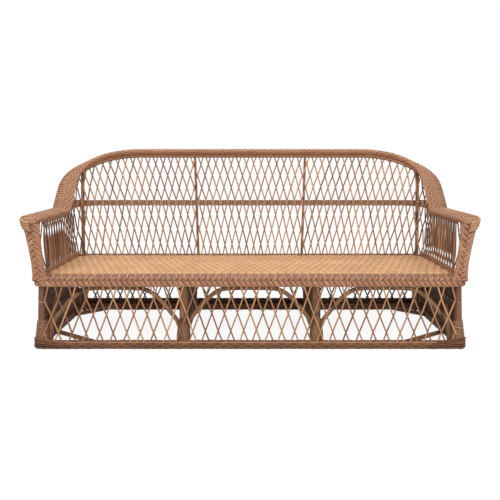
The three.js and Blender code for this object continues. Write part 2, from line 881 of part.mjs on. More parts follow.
// Underside of the hoop above a column of the wall.
function hoopUnderZ(column) {
  const total = cornerEndOf(wallHigh) + wallHigh.rearY - wallHigh.radius;
  const run = total - Math.abs(wallDistance(wallHigh, column));
  const step = 1;
  const slope = (hoopHeight(run + step) - hoopHeight(run - step)) / (2 * step);
  const risen = (hoopHeight(run) - hoop.armZ) / (hoop.backZ - hoop.armZ);
  const tilted = 2 * strand.thick * Math.tan(hoop.backTilt * risen);
  return hoopHeight(run) - (hoop.halfThick + fit) * Math.hypot(1, slope) - tilted;
}

const panelGap = fit / 2 / wallPitch;

function backLattice() {
  const end = flatEnd - panelGap;
  const bearers = [-seat.bearerX, 0, seat.bearerX].map((x) => bearer(x, fit));
  return trimmed(wallLattice(-end, end, [], hoopUnderZ), [...bearers, hoopCutter()]);
}

// The corner panel bends with the wall, so its strands bend on every row.
function cornerLattice() {
  const from = -cornerEnd + panelGap;
  const to = -flatEnd - panelGap;
  const rows = [];
  for (let row = 0; wallRowZ(row) < hoop.backZ; row += 1) rows.push(row);
  const bands = [backBand(-bandOut, fit), backBand(bandOut, fit)];
  const neighbours = [sideRail(fit), rearRail(fit), hoopCutter(), ...bands];
  return trimmed(wallLattice(from, to, rows, () => hoop.backZ), neighbours);
}

function armLattice() {
  const to = -cornerEnd - panelGap;
  const from = quarterShare - weave.backColumns - weave.armColumns;
  return trimmed(wallLattice(from, to, [], hoopUnderZ), [hoopCutter()]);
}

// Skirts: place(along, z, outward) gives the surface, along running from the middle of the panel.

function skirtLattice(halfLength, columns, topZ, place) {
  const rowAt = (z) => (z - skirt.rowZ) / skirt.rowPitch;
  const pitch = halfLength / columns;
  return lattice({
    place: (column, row, outward) => place(column * pitch, skirt.rowZ + skirt.rowPitch * row, outward),
    from: -columns,
    to: columns,
    lowRow: rowAt(border.tall + fit),
    highRow: rowAt(topZ),
    pitch,
  });
}

const skirtHalfLength = leg.cornerX - wrap.radius - fit;

function frontSkirt() {
  const y = strand.frontInset + strand.thick;
  return skirtLattice(skirtHalfLength, skirt.columnsShare, braid.low - fit, (along, z, outward) =>
    vec(along, y - outward, z),
  );
}

// The rear skirt leans with the legs and passes behind them and behind the rear rail.
function rearSkirt() {
  const lowY = leg.rearFootY + wrap.rearRadius + fit + strand.thick;
  const highY = seat.rearRailY + seat.railRadius + fit + strand.thick;
  const topZ = seat.railZ - seat.railFall + skirt.rearLap;
  return skirtLattice(skirtHalfLength, skirt.columnsShare, topZ, (along, z, outward) => {
    const share = (z - border.tall) / (rearLegTop - border.tall);
    return vec(along, Math.max(THREE.MathUtils.lerp(lowY, highY, share), highY) + outward, z);
  });
}

function sideSkirt() {
  const front = legY + wrap.radius + fit;
  const rear = leg.rearFootY - wrap.rearRadius - fit;
  const half = (rear - front) / 2;
  const lean = (leg.rearFootY - seat.rearRailY) / rearLegTop;
  const topZ = braid.low - 2 * fit;
  return skirtLattice(half, skirt.sideColumnsShare, topZ, (along, z, outward) => {
    const share = (along + half) / (2 * half);
    return vec(-skirt.sideX - outward, front + share * (rear - front - lean * z), z);
  });
}

// Floor border

const borderMiddle = {
  halfWidth: border.halfWidth - border.wide / 2,
  rearY: border.depth - border.wide / 2,
  radius: border.cornerRadius - border.wide / 2,
};

function borderCorner(side) {
  const straight = borderMiddle.halfWidth - borderMiddle.radius;
  const corner = cornerEndOf(borderMiddle);
  const steps = 4;
  const places = [];
  for (let i = 0; i <= steps; i += 1) {
    const p = planPlace(borderMiddle, side * THREE.MathUtils.lerp(corner, straight, i / steps));
    places.push(vec(p.x, p.y, border.tall / 2));
  }
  return places;
}

function rearBorderPlaces() {
  const y = border.depth - border.sideStart;
  const left = [vec(-borderMiddle.halfWidth, y, border.tall / 2), ...borderCorner(-1)];
  const right = left.map((p) => vec(-p.x, p.y, p.z)).toReversed();
  return [...left, ...right];
}

function frontBorderPlaces() {
  return rearBorderPlaces().map((p) => vec(p.x, border.depth - p.y, p.z));
}

function sideBorderPlaces() {
  const from = border.sideStart + fit;
  const to = border.depth - border.sideStart - fit;
  return [from, to].map((y) => vec(-borderMiddle.halfWidth, y, border.tall / 2));
}

function borderBar(places, clearance = 0) {
  const outline = roundedBox(border.wide / 2 + clearance, border.tall / 2 + clearance, border.tall / 8);
  return loft(outline, framesAlong(places));
}

function bothSides(geometry) {
  return [geometry, mirrored(geometry)];
}

function frontBorder() {
  const arches = [frontArch(...leftArchSpan, fit), frontArch(...middleArchSpan, fit)];
  const feet = [...bothSides(cornerPole(fit)), ...bothSides(frontMiddleLeg(fit)), ...arches];
  return trimmed(borderBar(frontBorderPlaces()), feet);
}

function rearBorder() {
  const feet = [...bothSides(rearCornerLeg(fit)), ...bothSides(rearMiddleLeg(fit))];
  return trimmed(borderBar(rearBorderPlaces()), feet);
}

function cornerWrap() {
  const poles = [cornerPole(fit), frontArch(...leftArchSpan, fit), sideArch(fit)];
  return footWrap(-leg.cornerX, legY, wrap.radius, wrap.radius, poles);
}

function middleWrap() {
  const front = strand.frontInset + 2 * strand.thick + fit;
  const rear = archY + arch.radius + leg.wrapWall;
  const arches = [frontArch(...leftArchSpan, fit), frontArch(...middleArchSpan, fit)];
  const poles = [frontMiddleLeg(fit), ...arches];
  return footWrap(-leg.frontMiddleX, (front + rear) / 2, wrap.middleHalfWidth, (rear - front) / 2, poles);
}

function frontBrace() {
  const inner = border.halfWidth - border.wide;
  const from = vec(-inner - overrun, brace.frontReachY + overrun, brace.z);
  const to = vec(-inner + brace.frontReachX, border.wide - overrun, brace.z);
  const bars = [borderBar(frontBorderPlaces(), fit), borderBar(sideBorderPlaces(), fit)];
  return trimmed(lyingPole(from, to, brace.radius, sides.thin), bars);
}

function rearBrace() {
  const inner = border.halfWidth - border.wide;
  const rear = border.depth - border.wide;
  const from = vec(-inner - overrun, rear - brace.rearReachY, brace.z);
  const to = vec(-inner + brace.rearReachX, rear + overrun, brace.z);
  const bars = [borderBar(rearBorderPlaces(), fit), borderBar(sideBorderPlaces(), fit)];
  return trimmed(lyingPole(from, to, brace.radius, sides.thin), bars);
}

// Assembly

const sofa = new THREE.Group();

function add(name, geometry, color) {
  const mesh = new THREE.Mesh(geometry, material(color));
  mesh.name = name;
  sofa.add(mesh);
}

function addPair(name, geometry, color) {
  add(`${name}_left`, geometry, color);
  add(`${name}_right`, mirrored(geometry), color);
}

addPair("corner_pole", trimmed(cornerPole(), [hoopCutter()]), rattan.pole);
addPair("front_middle_leg", frontMiddleLeg(), rattan.pole);
addPair("rear_corner_leg", rearCornerLeg(), rattan.pole);
addPair("rear_middle_leg", rearMiddleLeg(), rattan.pole);
addPair("corner_leg_wrap", cornerWrap(), rattan.woven);
addPair("middle_leg_wrap", middleWrap(), rattan.woven);
addPair("rear_corner_wrap", rearWrap(rearCornerLeg(fit), leg.cornerX, leg.cornerX), rattan.dark);
addPair("rear_middle_wrap", rearWrap(rearMiddleLeg(fit), leg.rearMiddleX, leg.rearMiddleTopX), rattan.dark);

add("front_seat_rail", frontRail(), rattan.pole);
add("rear_seat_rail", rearRail(), rattan.pole);
addPair("side_seat_rail", sideRail(), rattan.pole);
add("seat_bearer_middle", bearer(0), rattan.pole);
addPair("seat_bearer", bearer(-seat.bearerX), rattan.pole);
add("seat_deck", seatDeck(), rattan.deck);
add("seat_edge_braid", seatBraid(), rattan.woven);
addPair("arm_braid", armBraid(), rattan.woven);

add("hoop_cover", hoopCover(), rattan.woven);
add("hoop_outer_pole", hoopPole(-hoop.poleOffset), rattan.pole);
add("hoop_inner_pole", hoopPole(hoop.poleOffset), rattan.pole);

addPair("rear_corner_post", rearPost(post.cornerLowShare, post.cornerHighShare), rattan.pole);
addPair("rear_middle_post", rearPost(post.middleShare, post.middleShare), rattan.pole);
add("middle_band_front", backBand(-bandOut), rattan.woven);
add("middle_band_rear", backBand(bandOut), rattan.woven);
add("back_lattice", backLattice(), rattan.strand);
addPair("corner_lattice", cornerLattice(), rattan.strand);
addPair("arm_lattice", armLattice(), rattan.strand);

add("front_skirt_lattice", frontSkirt(), rattan.strand);
add("rear_skirt_lattice", rearSkirt(), rattan.strand);
addPair("side_skirt_lattice", sideSkirt(), rattan.strand);
addPair("front_arch", frontArch(...leftArchSpan), rattan.pole);
add("front_arch_middle", frontArch(...middleArchSpan), rattan.pole);
addPair("side_arch", sideArch(), rattan.pole);

add("front_border", frontBorder(), rattan.dark);
add("rear_border", rearBorder(), rattan.dark);
addPair("side_border", borderBar(sideBorderPlaces()), rattan.dark);
addPair("front_corner_brace", frontBrace(), rattan.pole);
addPair("rear_corner_brace", rearBrace(), rattan.pole);

const footprint = new THREE.Box3().setFromObject(sofa);
const centre = footprint.getCenter(vec(0, 0, 0));
sofa.position.set(-centre.x, -centre.y, -footprint.min.z);

export default sofa;
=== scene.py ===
import math
import random

import bpy
import numpy as np
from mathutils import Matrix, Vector


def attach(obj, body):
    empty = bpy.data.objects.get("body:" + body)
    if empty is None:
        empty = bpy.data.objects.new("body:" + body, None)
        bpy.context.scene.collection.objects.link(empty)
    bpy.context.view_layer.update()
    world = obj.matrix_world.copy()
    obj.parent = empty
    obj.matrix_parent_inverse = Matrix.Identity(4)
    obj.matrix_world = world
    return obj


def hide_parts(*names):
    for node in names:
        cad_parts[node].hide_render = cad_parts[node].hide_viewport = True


# A three seat rattan garden sofa. Work is in millimetres with y from the front face, as in the part's
# source, and turned into the row frame in metres when a mesh is made.

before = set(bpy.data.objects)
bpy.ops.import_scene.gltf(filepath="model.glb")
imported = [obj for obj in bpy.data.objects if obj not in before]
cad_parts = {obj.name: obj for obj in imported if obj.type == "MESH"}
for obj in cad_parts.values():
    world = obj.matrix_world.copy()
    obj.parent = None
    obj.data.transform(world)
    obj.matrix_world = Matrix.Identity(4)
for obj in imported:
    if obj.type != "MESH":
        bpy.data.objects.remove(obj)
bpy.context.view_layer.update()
random.seed(7)

CENTRE_Y = 390.059  # front face to the middle of the footprint
UP = np.array([0.0, 0.0, 1.0])
SIDES = ((-1, "left"), (1, "right"))

# Camera: level, turned to +Y, with the horizon above the middle of the picture
FOCAL_PX = 621.0
PICTURE_PX = 500.0
CAMERA_BACK = 2700.0
CAMERA_HEIGHT = 841.0
HORIZON_ABOVE_MIDDLE = 94.0

# Sizes, most of them as in the part's source: z is height, half and radius are plan sizes
WALL_LOW = dict(z=310.0, half=925.0, rear=660.0, radius=65.0)
WALL_HIGH = dict(z=850.0, half=957.0, rear=742.0, radius=167.0)
BACK_COLUMNS = 25
ARM_COLUMNS = 15
ARM_FRONT = 27.0
LEG_X = 911.0
LEG_Y = 27.6
LEG_R = 13.0
THIN_R = 10.0  # bearers and corner braces
MIDDLE_X = 295.0
REAR_FOOT_Y = 700.0
REAR_LEG_TOP = 266.0
BEARER_ENDS = ((43.0, 288.0), (660.0, 282.0))
BRACE_Z = 18.0
RAIL_Z = 286.0
RAIL_FALL = 6.0
DECK_TOP = 313.0
DECK_FRONT = 16.3
REAR_RAIL_Y = 674.0
HOOP = dict(half=45.0, thick=16.0, arm=563.0, back=858.0, tilt=math.radians(15), tip=-6.0, nose=28.0)
RISE = np.array([[455.0, 563.0], [484.0, 563.0], [608.0, 858.0], [1031.0, 858.0]])
BAND_Z = 585.5

# Sizes of this scene's own, read from the photograph
DECK_RIB = 17.9
DECK_ROW = 7.6
STAKE_PITCH = 35.8
WINDING_PITCH = 4.9
ARCH_R = 9.6
ARCH_RISE = 254.0
BORDER = dict(half=946.0, depth=728.0, wide=37.0, tall=32.0, radius=30.0)


# Meshes of strands

def unit(v):
    return v / np.maximum(np.linalg.norm(v, axis=-1, keepdims=True), 1e-9)


def path_length(points):
    """How far along a path each of its points lies."""
    steps = np.linalg.norm(np.diff(points, axis=0), axis=1)
    return np.concatenate([[0.0], np.cumsum(steps)])


def pick(at, length, table):
    """Points of a path at places along it."""
    return np.stack([np.interp(at, length, table[:, k]) for k in range(3)], axis=-1)


def places(x, y, z):
    """Points from coordinates, each an array or one number."""
    return np.column_stack(np.broadcast_arrays(x, y, z))


def row_frame(points):
    """Points in the row frame, in metres."""
    return (points - np.array([0.0, CENTRE_Y, 0.0])) / 1000


def carried_normals(points):
    """Normals along a path that turn as little as they can."""
    along = unit(np.gradient(points, axis=0))
    start = UP if abs(along[0][2]) < 0.9 else np.array([1.0, 0.0, 0.0])
    normal = unit(start - along[0] * np.dot(start, along[0]))
    normals = [normal]
    for direction in along[1:]:
        normal = normal - direction * np.dot(normal, direction)
        normal = normal / max(np.linalg.norm(normal), 1e-9)
        normals.append(normal)
    return np.array(normals)


class Strands:
    """Strands gathered into one mesh. Every strand keeps its length and turn in a UV map, and in an
    attribute the painted shade it gets, where it passes under its neighbours or lies in shade."""

    def __init__(self, sides=8):
        self.sides = sides
        self.points = []
        self.quads = []
        self.caps = []
        self.uvs = []
        self.dips = []
        self.count = 0

    def add(self, points, wide, thick=None, normals=None, dips=0.0, loop=False):
        points = np.asarray(points, dtype=float)
        n = len(points)
        thick = wide if thick is None else thick
        if loop:
            along = unit(np.roll(points, -1, axis=0) - np.roll(points, 1, axis=0))
        else:
            along = unit(np.gradient(points, axis=0))
        if normals is None:
            normals = carried_normals(points)
        normals = np.broadcast_to(np.asarray(normals, dtype=float), points.shape)
        normals = unit(normals - along * np.sum(normals * along, axis=1, keepdims=True))
        side = np.cross(along, normals)
        s = self.sides
        angle = 2 * np.pi * (np.arange(s) + 0.5) / s
        wides = np.broadcast_to(wide, (n,))[:, None, None] / 2
        thicks = np.broadcast_to(thick, (n,))[:, None, None] / 2
        rings = (points[:, None, :]
                 + wides * np.cos(angle)[None, :, None] * side[:, None, :]
                 + thicks * np.sin(angle)[None, :, None] * normals[:, None, :])
        self.points.append(rings.reshape(-1, 3))
        self.dips.append(np.repeat(np.broadcast_to(dips, (n,)), s))
        lengths = path_length(points) / 1000 + random.random() * 7
        rows = n if loop else n - 1
        i = np.arange(rows)[:, None]
        j = np.arange(s)[None, :]
        k = (i + 1) % n
        a = self.count + i * s + j
        b = self.count + i * s + (j + 1) % s
        c = self.count + k * s + (j + 1) % s
        d = self.count + k * s + j
        self.quads.append(np.stack([a, b, c, d], axis=-1).reshape(-1, 4))
        u0 = np.broadcast_to(lengths[i], a.shape)
        u1 = np.broadcast_to(lengths[k] if not loop else lengths[i] + 0.003, a.shape)
        v0 = np.broadcast_to(j / s, a.shape)
        v1 = v0 + 1 / s
        uv = np.stack([np.stack([u0, v0], -1), np.stack([u0, v1], -1),
                       np.stack([u1, v1], -1), np.stack([u1, v0], -1)], axis=2)
        self.uvs.append(uv.reshape(-1, 2))
        if not loop:
            first = self.count + np.arange(s)
            self.caps.append((first[::-1], lengths[0]))
            self.caps.append((first + (n - 1) * s, lengths[-1]))
        self.count += n * s

    def make(self, name, material, slot, nodes=()):
        points = row_frame(np.concatenate(self.points))
        quads = np.concatenate(self.quads)
        loops = [quads.reshape(-1)]
        uvs = [np.concatenate(self.uvs)]
        starts = [np.arange(len(quads)) * 4]
        at = len(quads) * 4
        for cap, length in self.caps:
            loops.append(cap)
            uvs.append(np.column_stack([np.full(len(cap), length), np.linspace(0, 1, len(cap))]))
            starts.append(np.array([at]))
            at += len(cap)
        loops = np.concatenate(loops).astype(np.int32)
        starts = np.concatenate(starts).astype(np.int32)
        mesh = bpy.data.meshes.new(name)
        mesh.vertices.add(len(points))
        mesh.vertices.foreach_set("co", points.astype(np.float32).ravel())
        mesh.loops.add(len(loops))
        mesh.loops.foreach_set("vertex_index", loops)
        mesh.polygons.add(len(starts))
        mesh.polygons.foreach_set("loop_start", starts)
        mesh.polygons.foreach_set("use_smooth", np.ones(len(starts), dtype=bool))
        mesh.update(calc_edges=True)
        layer = mesh.uv_layers.new(name="strand")
        layer.data.foreach_set("uv", np.concatenate(uvs).astype(np.float32).ravel())
        # Painted shade: how far the material darkens each point towards its shade tone.
        painted_shade = mesh.attributes.new("painted_shade", "FLOAT", "POINT")
        painted_shade.data.foreach_set("value", np.concatenate(self.dips).astype(np.float32))
        mesh.validate()
        piece(name, mesh, material, nodes)


def piece(name, mesh, material, nodes=()):
    obj = bpy.data.objects.new(name, mesh)
    bpy.context.scene.collection.objects.link(obj)
    mesh.materials.append(material)
    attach(obj, "root")
    if nodes:
        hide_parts(*nodes)


def smooth_path(points, steps=8):
    """A curve through the points, with rounded turns."""
    p = np.asarray(points, dtype=float)
    ext = np.vstack([2 * p[0] - p[1], p, 2 * p[-1] - p[-2]])
    out = []
    for i in range(1, len(ext) - 2):
        a, b, c, d = ext[i - 1], ext[i], ext[i + 1], ext[i + 2]
        for t in np.linspace(0, 1, steps, endpoint=False):
            out.append(0.5 * (2 * b + (c - a) * t + (2 * a - 5 * b + 4 * c - d) * t * t
                              + (3 * b - a - 3 * c + d) * t ** 3))
    out.append(p[-1])
    return np.array(out)


def straight_path(a, b, step=8.0):
    a = np.asarray(a, dtype=float)
    b = np.asarray(b, dtype=float)
    n = max(int(np.linalg.norm(b - a) / step), 2)
    t = np.linspace(0, 1, n + 1)[:, None]
    return a + (b - a) * t


# Materials

def node_tree(name):
    material = bpy.data.materials.new(name)
    material.use_nodes = True
    tree = material.node_tree
    tree.nodes.clear()
    return material, tree


def add_node(tree, kind, inputs, **settings):
    """A shader node: first its settings, then a link or a value for each input."""
    node = tree.nodes.new("ShaderNode" + kind)
    for name, value in settings.items():
        setattr(node, name, value)
    for name, value in inputs.items():
        if isinstance(value, bpy.types.NodeSocket):
            tree.links.new(value, node.inputs[name])
        else:
            node.inputs[name].default_value = value
    return node


def mixed(tree, factor, a, b, blend="MIX"):
    inputs = {"Factor": factor, "A": a, "B": b}
    return add_node(tree, "Mix", inputs, data_type="RGBA", blend_type=blend).outputs["Result"]


def ramp(tree, socket, stops):
    node = add_node(tree, "ValToRGB", {0: socket})
    elements = node.color_ramp.elements
    while len(elements) < len(stops):
        elements.new(0.5)
    for element, (at, color) in zip(elements, stops):
        element.position = at
        element.color = (*color, 1.0)
    return node.outputs[0]


def linear(color):
    return tuple(((c / 255) / 12.92) if c / 255 <= 0.04045 else ((c / 255 + 0.055) / 1.055) ** 2.4
                 for c in color)


def rattan(name, tones, dark, rough=0.5, rings=False, streak=0.35):
    """Rattan or its core: each strand in its own tone, streaked lengthwise, with painted shade."""
    material, tree = node_tree(name)
    # The dark tone is the colour of the painted shade, and also of the thin rings.
    dark_tone = (*linear(dark), 1.0)
    island = add_node(tree, "NewGeometry", {}).outputs["Random Per Island"]
    last = len(tones) - 1
    color = ramp(tree, island, [(i / last, linear(tone)) for i, tone in enumerate(tones)])

    along = add_node(tree, "UVMap", {}, uv_map="strand").outputs[0]
    stretched = add_node(tree, "Mapping", {"Vector": along, "Scale": (14.0, 9.0, 1.0)}).outputs[0]
    grain_inputs = {"Vector": stretched, "Scale": 2.2, "Detail": 6.0, "Roughness": 0.65}
    grain = add_node(tree, "TexNoise", grain_inputs).outputs[0]
    shades = [(0.3, (0.55, 0.5, 0.45)), (0.5, (1.0, 1.0, 1.0)), (0.72, (1.25, 1.2, 1.12))]
    color = mixed(tree, streak, color, ramp(tree, grain, shades), "MULTIPLY")

    place = add_node(tree, "TexCoord", {}).outputs["Object"]
    patches = add_node(tree, "TexNoise", {"Vector": place, "Scale": 9.0, "Detail": 3.0}).outputs[0]
    broad = ramp(tree, patches, [(0.35, (0.82, 0.78, 0.74)), (0.65, (1.1, 1.08, 1.05))])
    color = mixed(tree, 0.6, color, broad, "MULTIPLY")

    # Painted shade: the attribute mixes the colour towards the dark tone.
    painted_shade = add_node(tree, "Attribute", {}, attribute_name="painted_shade").outputs["Fac"]
    color = mixed(tree, painted_shade, color, dark_tone)
    if rings:
        wave_inputs = {"Vector": along, "Scale": 1.15, "Distortion": 1.5, "Detail": 1.0}
        wave = add_node(tree, "TexWave", wave_inputs, bands_direction="X").outputs["Fac"]
        thin = ramp(tree, wave, [(0.0, (0.0,) * 3), (0.965, (0.0,) * 3), (0.99, (1.0,) * 3)])
        color = mixed(tree, thin, color, dark_tone)

    gloss = ramp(tree, grain, [(0.3, (rough + 0.14,) * 3), (0.7, (rough - 0.08,) * 3)])
    relief = add_node(tree, "Bump", {"Height": grain, "Strength": 0.25, "Distance": 0.0006}).outputs[0]
    surface = {"Base Color": color, "Roughness": gloss, "Normal": relief}
    shader = add_node(tree, "BsdfPrincipled", surface)
    add_node(tree, "OutputMaterial", {0: shader.outputs[0]})
    return material


STRAND = rattan("strand_rattan", [(146, 98, 64), (192, 143, 98), (172, 122, 82), (212, 163, 116),
                                  (120, 78, 52), (198, 150, 106)], (66, 38, 22), 0.48, streak=0.5)
# A darker copy of the lattice strand rattan: painted shade for the arm lattice.
SHADED_ARM_STRAND = rattan("shaded_arm_strand_rattan", [(104, 66, 40), (152, 104, 66), (82, 50, 30), (178, 128, 86),
                                          (120, 78, 48), (92, 56, 34)], (52, 30, 18), 0.48, streak=0.5)
WOVEN = rattan("woven_rattan", [(180, 130, 98), (194, 147, 113), (184, 135, 102), (203, 156, 122)],
               (98, 60, 40), 0.55)
PLAIT = rattan("plait_rattan", [(158, 110, 82), (182, 132, 100), (168, 118, 88), (194, 146, 112)],
               (78, 44, 28), 0.52, streak=0.45)
WRAP = rattan("wrap_rattan", [(134, 94, 70), (150, 108, 82), (124, 86, 62), (158, 116, 88)],
              (70, 42, 28), 0.55)
BAND = rattan("band_rattan", [(146, 104, 80), (162, 118, 92), (138, 98, 74)], (92, 58, 40), 0.55)
STRIP = rattan("strip_rattan", [(192, 146, 110), (182, 134, 98), (200, 154, 118)], (140, 94, 62))
DECK = rattan("deck_rattan", [(208, 160, 116), (220, 174, 128), (214, 166, 122), (226, 182, 136)],
              (168, 118, 80), 0.6)
# Dark rattan: the floor border's own brown, and painted shade for the parts that lie in shade.
BORDER_AND_SHADE_MAT = rattan("border_and_shade_rattan", [(126, 80, 52), (150, 99, 64), (110, 68, 44), (140, 91, 58)],
                    (50, 26, 14), 0.58)
ARCH = rattan("arch_rattan", [(130, 92, 62), (152, 112, 78), (140, 100, 68), (162, 122, 88)],
              (80, 52, 34), 0.42, rings=True, streak=0.5)
POLE = rattan("pole_rattan", [(132, 88, 56), (152, 106, 70), (140, 96, 62), (160, 114, 76)],
              (76, 46, 28), 0.4, rings=True, streak=0.45)


# The wall of back and arms

def plan_place(outline, distance):
    """Plan point and outward direction at distances from the middle of the back."""
    d = np.asarray(distance, dtype=float)
    side = np.where(d < 0, -1.0, 1.0)
    run = np.abs(d)
    flat = outline["half"] - outline["radius"]
    quarter = outline["radius"] * math.pi / 2
    turn = np.clip((run - flat) / outline["radius"], 0, math.pi / 2)
    x = np.where(run <= flat, run, flat + outline["radius"] * np.sin(turn))
    y = outline["rear"] - outline["radius"] + outline["radius"] * np.cos(turn)
    y = y - np.maximum(run - flat - quarter, 0)
    out = np.stack([side * np.sin(turn), np.cos(turn), np.zeros_like(turn)], axis=-1)
    return np.stack([side * x, y], axis=-1), out


def corner_end(outline):
    return outline["half"] - outline["radius"] + outline["radius"] * math.pi / 2


def wall_distance(outline, column):
    run = np.abs(column)
    side = outline["rear"] - outline["radius"] - ARM_FRONT
    back = np.minimum(run, BACK_COLUMNS) / BACK_COLUMNS * corner_end(outline)
    arm = np.maximum(run - BACK_COLUMNS, 0) / ARM_COLUMNS * side
    return np.sign(column) * (back + arm)


def wall_place(column, z, outward=0.0):
    column = np.asarray(column, dtype=float)
    z = np.asarray(z, dtype=float)
    low, low_out = plan_place(WALL_LOW, wall_distance(WALL_LOW, column))
    high, high_out = plan_place(WALL_HIGH, wall_distance(WALL_HIGH, column))
    share = ((z - WALL_LOW["z"]) / (WALL_HIGH["z"] - WALL_LOW["z"]))[..., None]
    plan = low + (high - low) * share
    out = unit(low_out + (high_out - low_out) * share)
    point = np.concatenate([plan, np.broadcast_to(z, column.shape)[..., None]], axis=-1)
    return point + out * np.asarray(outward)[..., None], out


# The hoop

HOOP_TOTAL = corner_end(WALL_HIGH) + WALL_HIGH["rear"] - WALL_HIGH["radius"]
curve_t = np.linspace(0, 1, 400)[:, None]
RISE_CURVE = ((1 - curve_t) ** 3 * RISE[0] + 3 * (1 - curve_t) ** 2 * curve_t * RISE[1]
              + 3 * (1 - curve_t) * curve_t ** 2 * RISE[2] + curve_t ** 3 * RISE[3])


def hoop_height(run):
    return np.interp(run, RISE_CURVE[:, 0], RISE_CURVE[:, 1])


def hoop_line():
    """The hoop from the left tip to the right one: length, origin, across (inward), up."""
    runs = np.arange(HOOP["tip"], HOOP_TOTAL, 3.0)
    distance = np.concatenate([-(HOOP_TOTAL - runs), (HOOP_TOTAL - runs)[::-1]])
    runs = np.concatenate([runs, runs[::-1]])
    plan, _ = plan_place(WALL_HIGH, distance)
    z = hoop_height(runs)
    origin = np.column_stack([plan, z])
    along = unit(np.gradient(origin, axis=0))
    across = unit(np.cross(along, UP))
    up = unit(np.cross(across, along))
    tilt = -HOOP["tilt"] * (z - HOOP["arm"]) / (HOOP["back"] - HOOP["arm"])
    c, s = np.cos(tilt)[:, None], np.sin(tilt)[:, None]
    across, up = across * c + np.cross(along, across) * s, up * c + np.cross(along, up) * s
    return path_length(origin), origin, across, up


HOOP_LENGTH, HOOP_ORIGIN, HOOP_ACROSS, HOOP_UP = hoop_line()


def hoop_frame(at):
    return (pick(at, HOOP_LENGTH, HOOP_ORIGIN), unit(pick(at, HOOP_LENGTH, HOOP_ACROSS)),
            unit(pick(at, HOOP_LENGTH, HOOP_UP)))


def hoop_nose(at):
    """How far the section has opened at this length: narrow at the tips."""
    near = np.minimum(at, HOOP_LENGTH[-1] - at)
    q = np.clip(near / HOOP["nose"], 0, 1)
    open_share = np.sqrt(np.clip(1 - (1 - q) ** 2, 0, 1))
    return 0.72 + 0.28 * open_share, 0.5 + 0.5 * open_share


def oval_table(half_wide, half_thick, power=2.5, count=720):
    angle = np.linspace(0, 2 * math.pi, count)
    c, s = np.cos(angle), np.sin(angle)
    x = half_wide * np.sign(c) * np.abs(c) ** (2 / power)
    y = half_thick * np.sign(s) * np.abs(s) ** (2 / power)
    length = np.concatenate([[0.0], np.cumsum(np.hypot(np.diff(x), np.diff(y)))])
    return length, x, y


def oval_at(table, share):
    """A place on an oval and its outward normal, by share of the way round."""
    length, x, y = table
    total = length[-1]
    at = (share % 1.0) * total
    step = total / 400
    ahead, behind = (at + step) % total, (at - step) % total
    ax = np.interp(ahead, length, x) - np.interp(behind, length, x)
    ay = np.interp(ahead, length, y) - np.interp(behind, length, y)
    size = math.hypot(ax, ay)
    return np.interp(at, length, x), np.interp(at, length, y), ay / size, -ax / size


def single(frame_at, s):
    """A frame or scale at one length."""
    return [values[0] for values in frame_at(np.array([s]))]


def oval_ring(table, frame_at, scale_at, s, shares, inset):
    """Points round the section at one length, set in from its outline."""
    origin, across, up = single(frame_at, s)
    wide_scale, thick_scale = single(scale_at, s)
    ring = []
    for share in shares:
        x, y, nx, ny = oval_at(table, share)
        sideways = across * (x * wide_scale - nx * inset)
        ring.append(origin + sideways + up * (y * thick_scale - ny * inset))
    return ring


def woven_oval(strands, ribs, frame_at, total, table, scale_at, count, rib_pitch, wide, thick, amp,
               inset, rib_wide, painted_shade_share, wobble, edge_courses=-1):
    """Plain weave round a bar: strands along it pass over and under ribs that circle it. On the edges
    they run in pairs, as many courses as edge_courses says."""
    rib_count = int(total / rib_pitch)
    pitch = total / rib_count
    at = np.linspace(0, total, rib_count * 4 + 1)
    origin, across, up = frame_at(at)
    wide_scale, thick_scale = scale_at(at)
    for i in range(count):
        x, y, nx, ny = oval_at(table, i / count)
        on_edge = min(i, count - i) <= edge_courses or abs(i - count // 2) < edge_courses
        wave = np.cos(math.pi * at / pitch + math.pi * (i // 2 if on_edge else i))
        lift = amp * wave - inset + wobble * np.sin(at / 61.0 + i * 1.7)
        normal = nx * across + ny * up
        points = origin + across * (x * wide_scale)[:, None] + up * (y * thick_scale)[:, None]
        points = points + normal * lift[:, None]
        # Painted shade where a strand passes under a rib.
        dips = painted_shade_share * np.clip(0.5 - 0.5 * wave, 0, 1) ** 1.5
        strands.add(points, wide * random.uniform(0.92, 1.04), thick, normal, dips)
    around = np.linspace(0, 1, 29)[:-1]
    for k in range(rib_count):
        ring = oval_ring(table, frame_at, scale_at, (k + 0.5) * pitch, around, inset)
        # Painted shade on the ribs, which lie mostly under the strands.
        ribs.add(ring, rib_wide, dips=0.55, loop=True)


def loft_mesh(name, rings, depth=0.9):
    """A skin through rings of points, closed at both ends, darkened all over by depth as painted shade.
    """
    rings = np.array(rings)
    n, s = rings.shape[:2]
    points = row_frame(rings.reshape(-1, 3))
    faces = []
    for i in range(n - 1):
        for j in range(s):
            k = (j + 1) % s
            faces.append((i * s + j, i * s + k, (i + 1) * s + k, (i + 1) * s + j))
    faces.append(tuple(range(s))[::-1])
    faces.append(tuple((n - 1) * s + j for j in range(s)))
    mesh = bpy.data.meshes.new(name)
    mesh.from_pydata(points.tolist(), [], faces)
    mesh.polygons.foreach_set("use_smooth", np.ones(len(faces), dtype=bool))
    mesh.uv_layers.new(name="strand")
    painted_shade = mesh.attributes.new("painted_shade", "FLOAT", "POINT")
    painted_shade.data.foreach_set("value", np.full(len(points), depth, dtype=np.float32))
    mesh.update()
    return mesh


def oval_core(name, frame_at, total, table, depth, scale_at, step, material):
    around = np.linspace(0, 1, 25)[:-1]
    rings = [oval_ring(table, frame_at, scale_at, s, around, depth)
             for s in np.linspace(depth, total - depth, int(total / step))]
    piece(name, loft_mesh(name, rings), material)


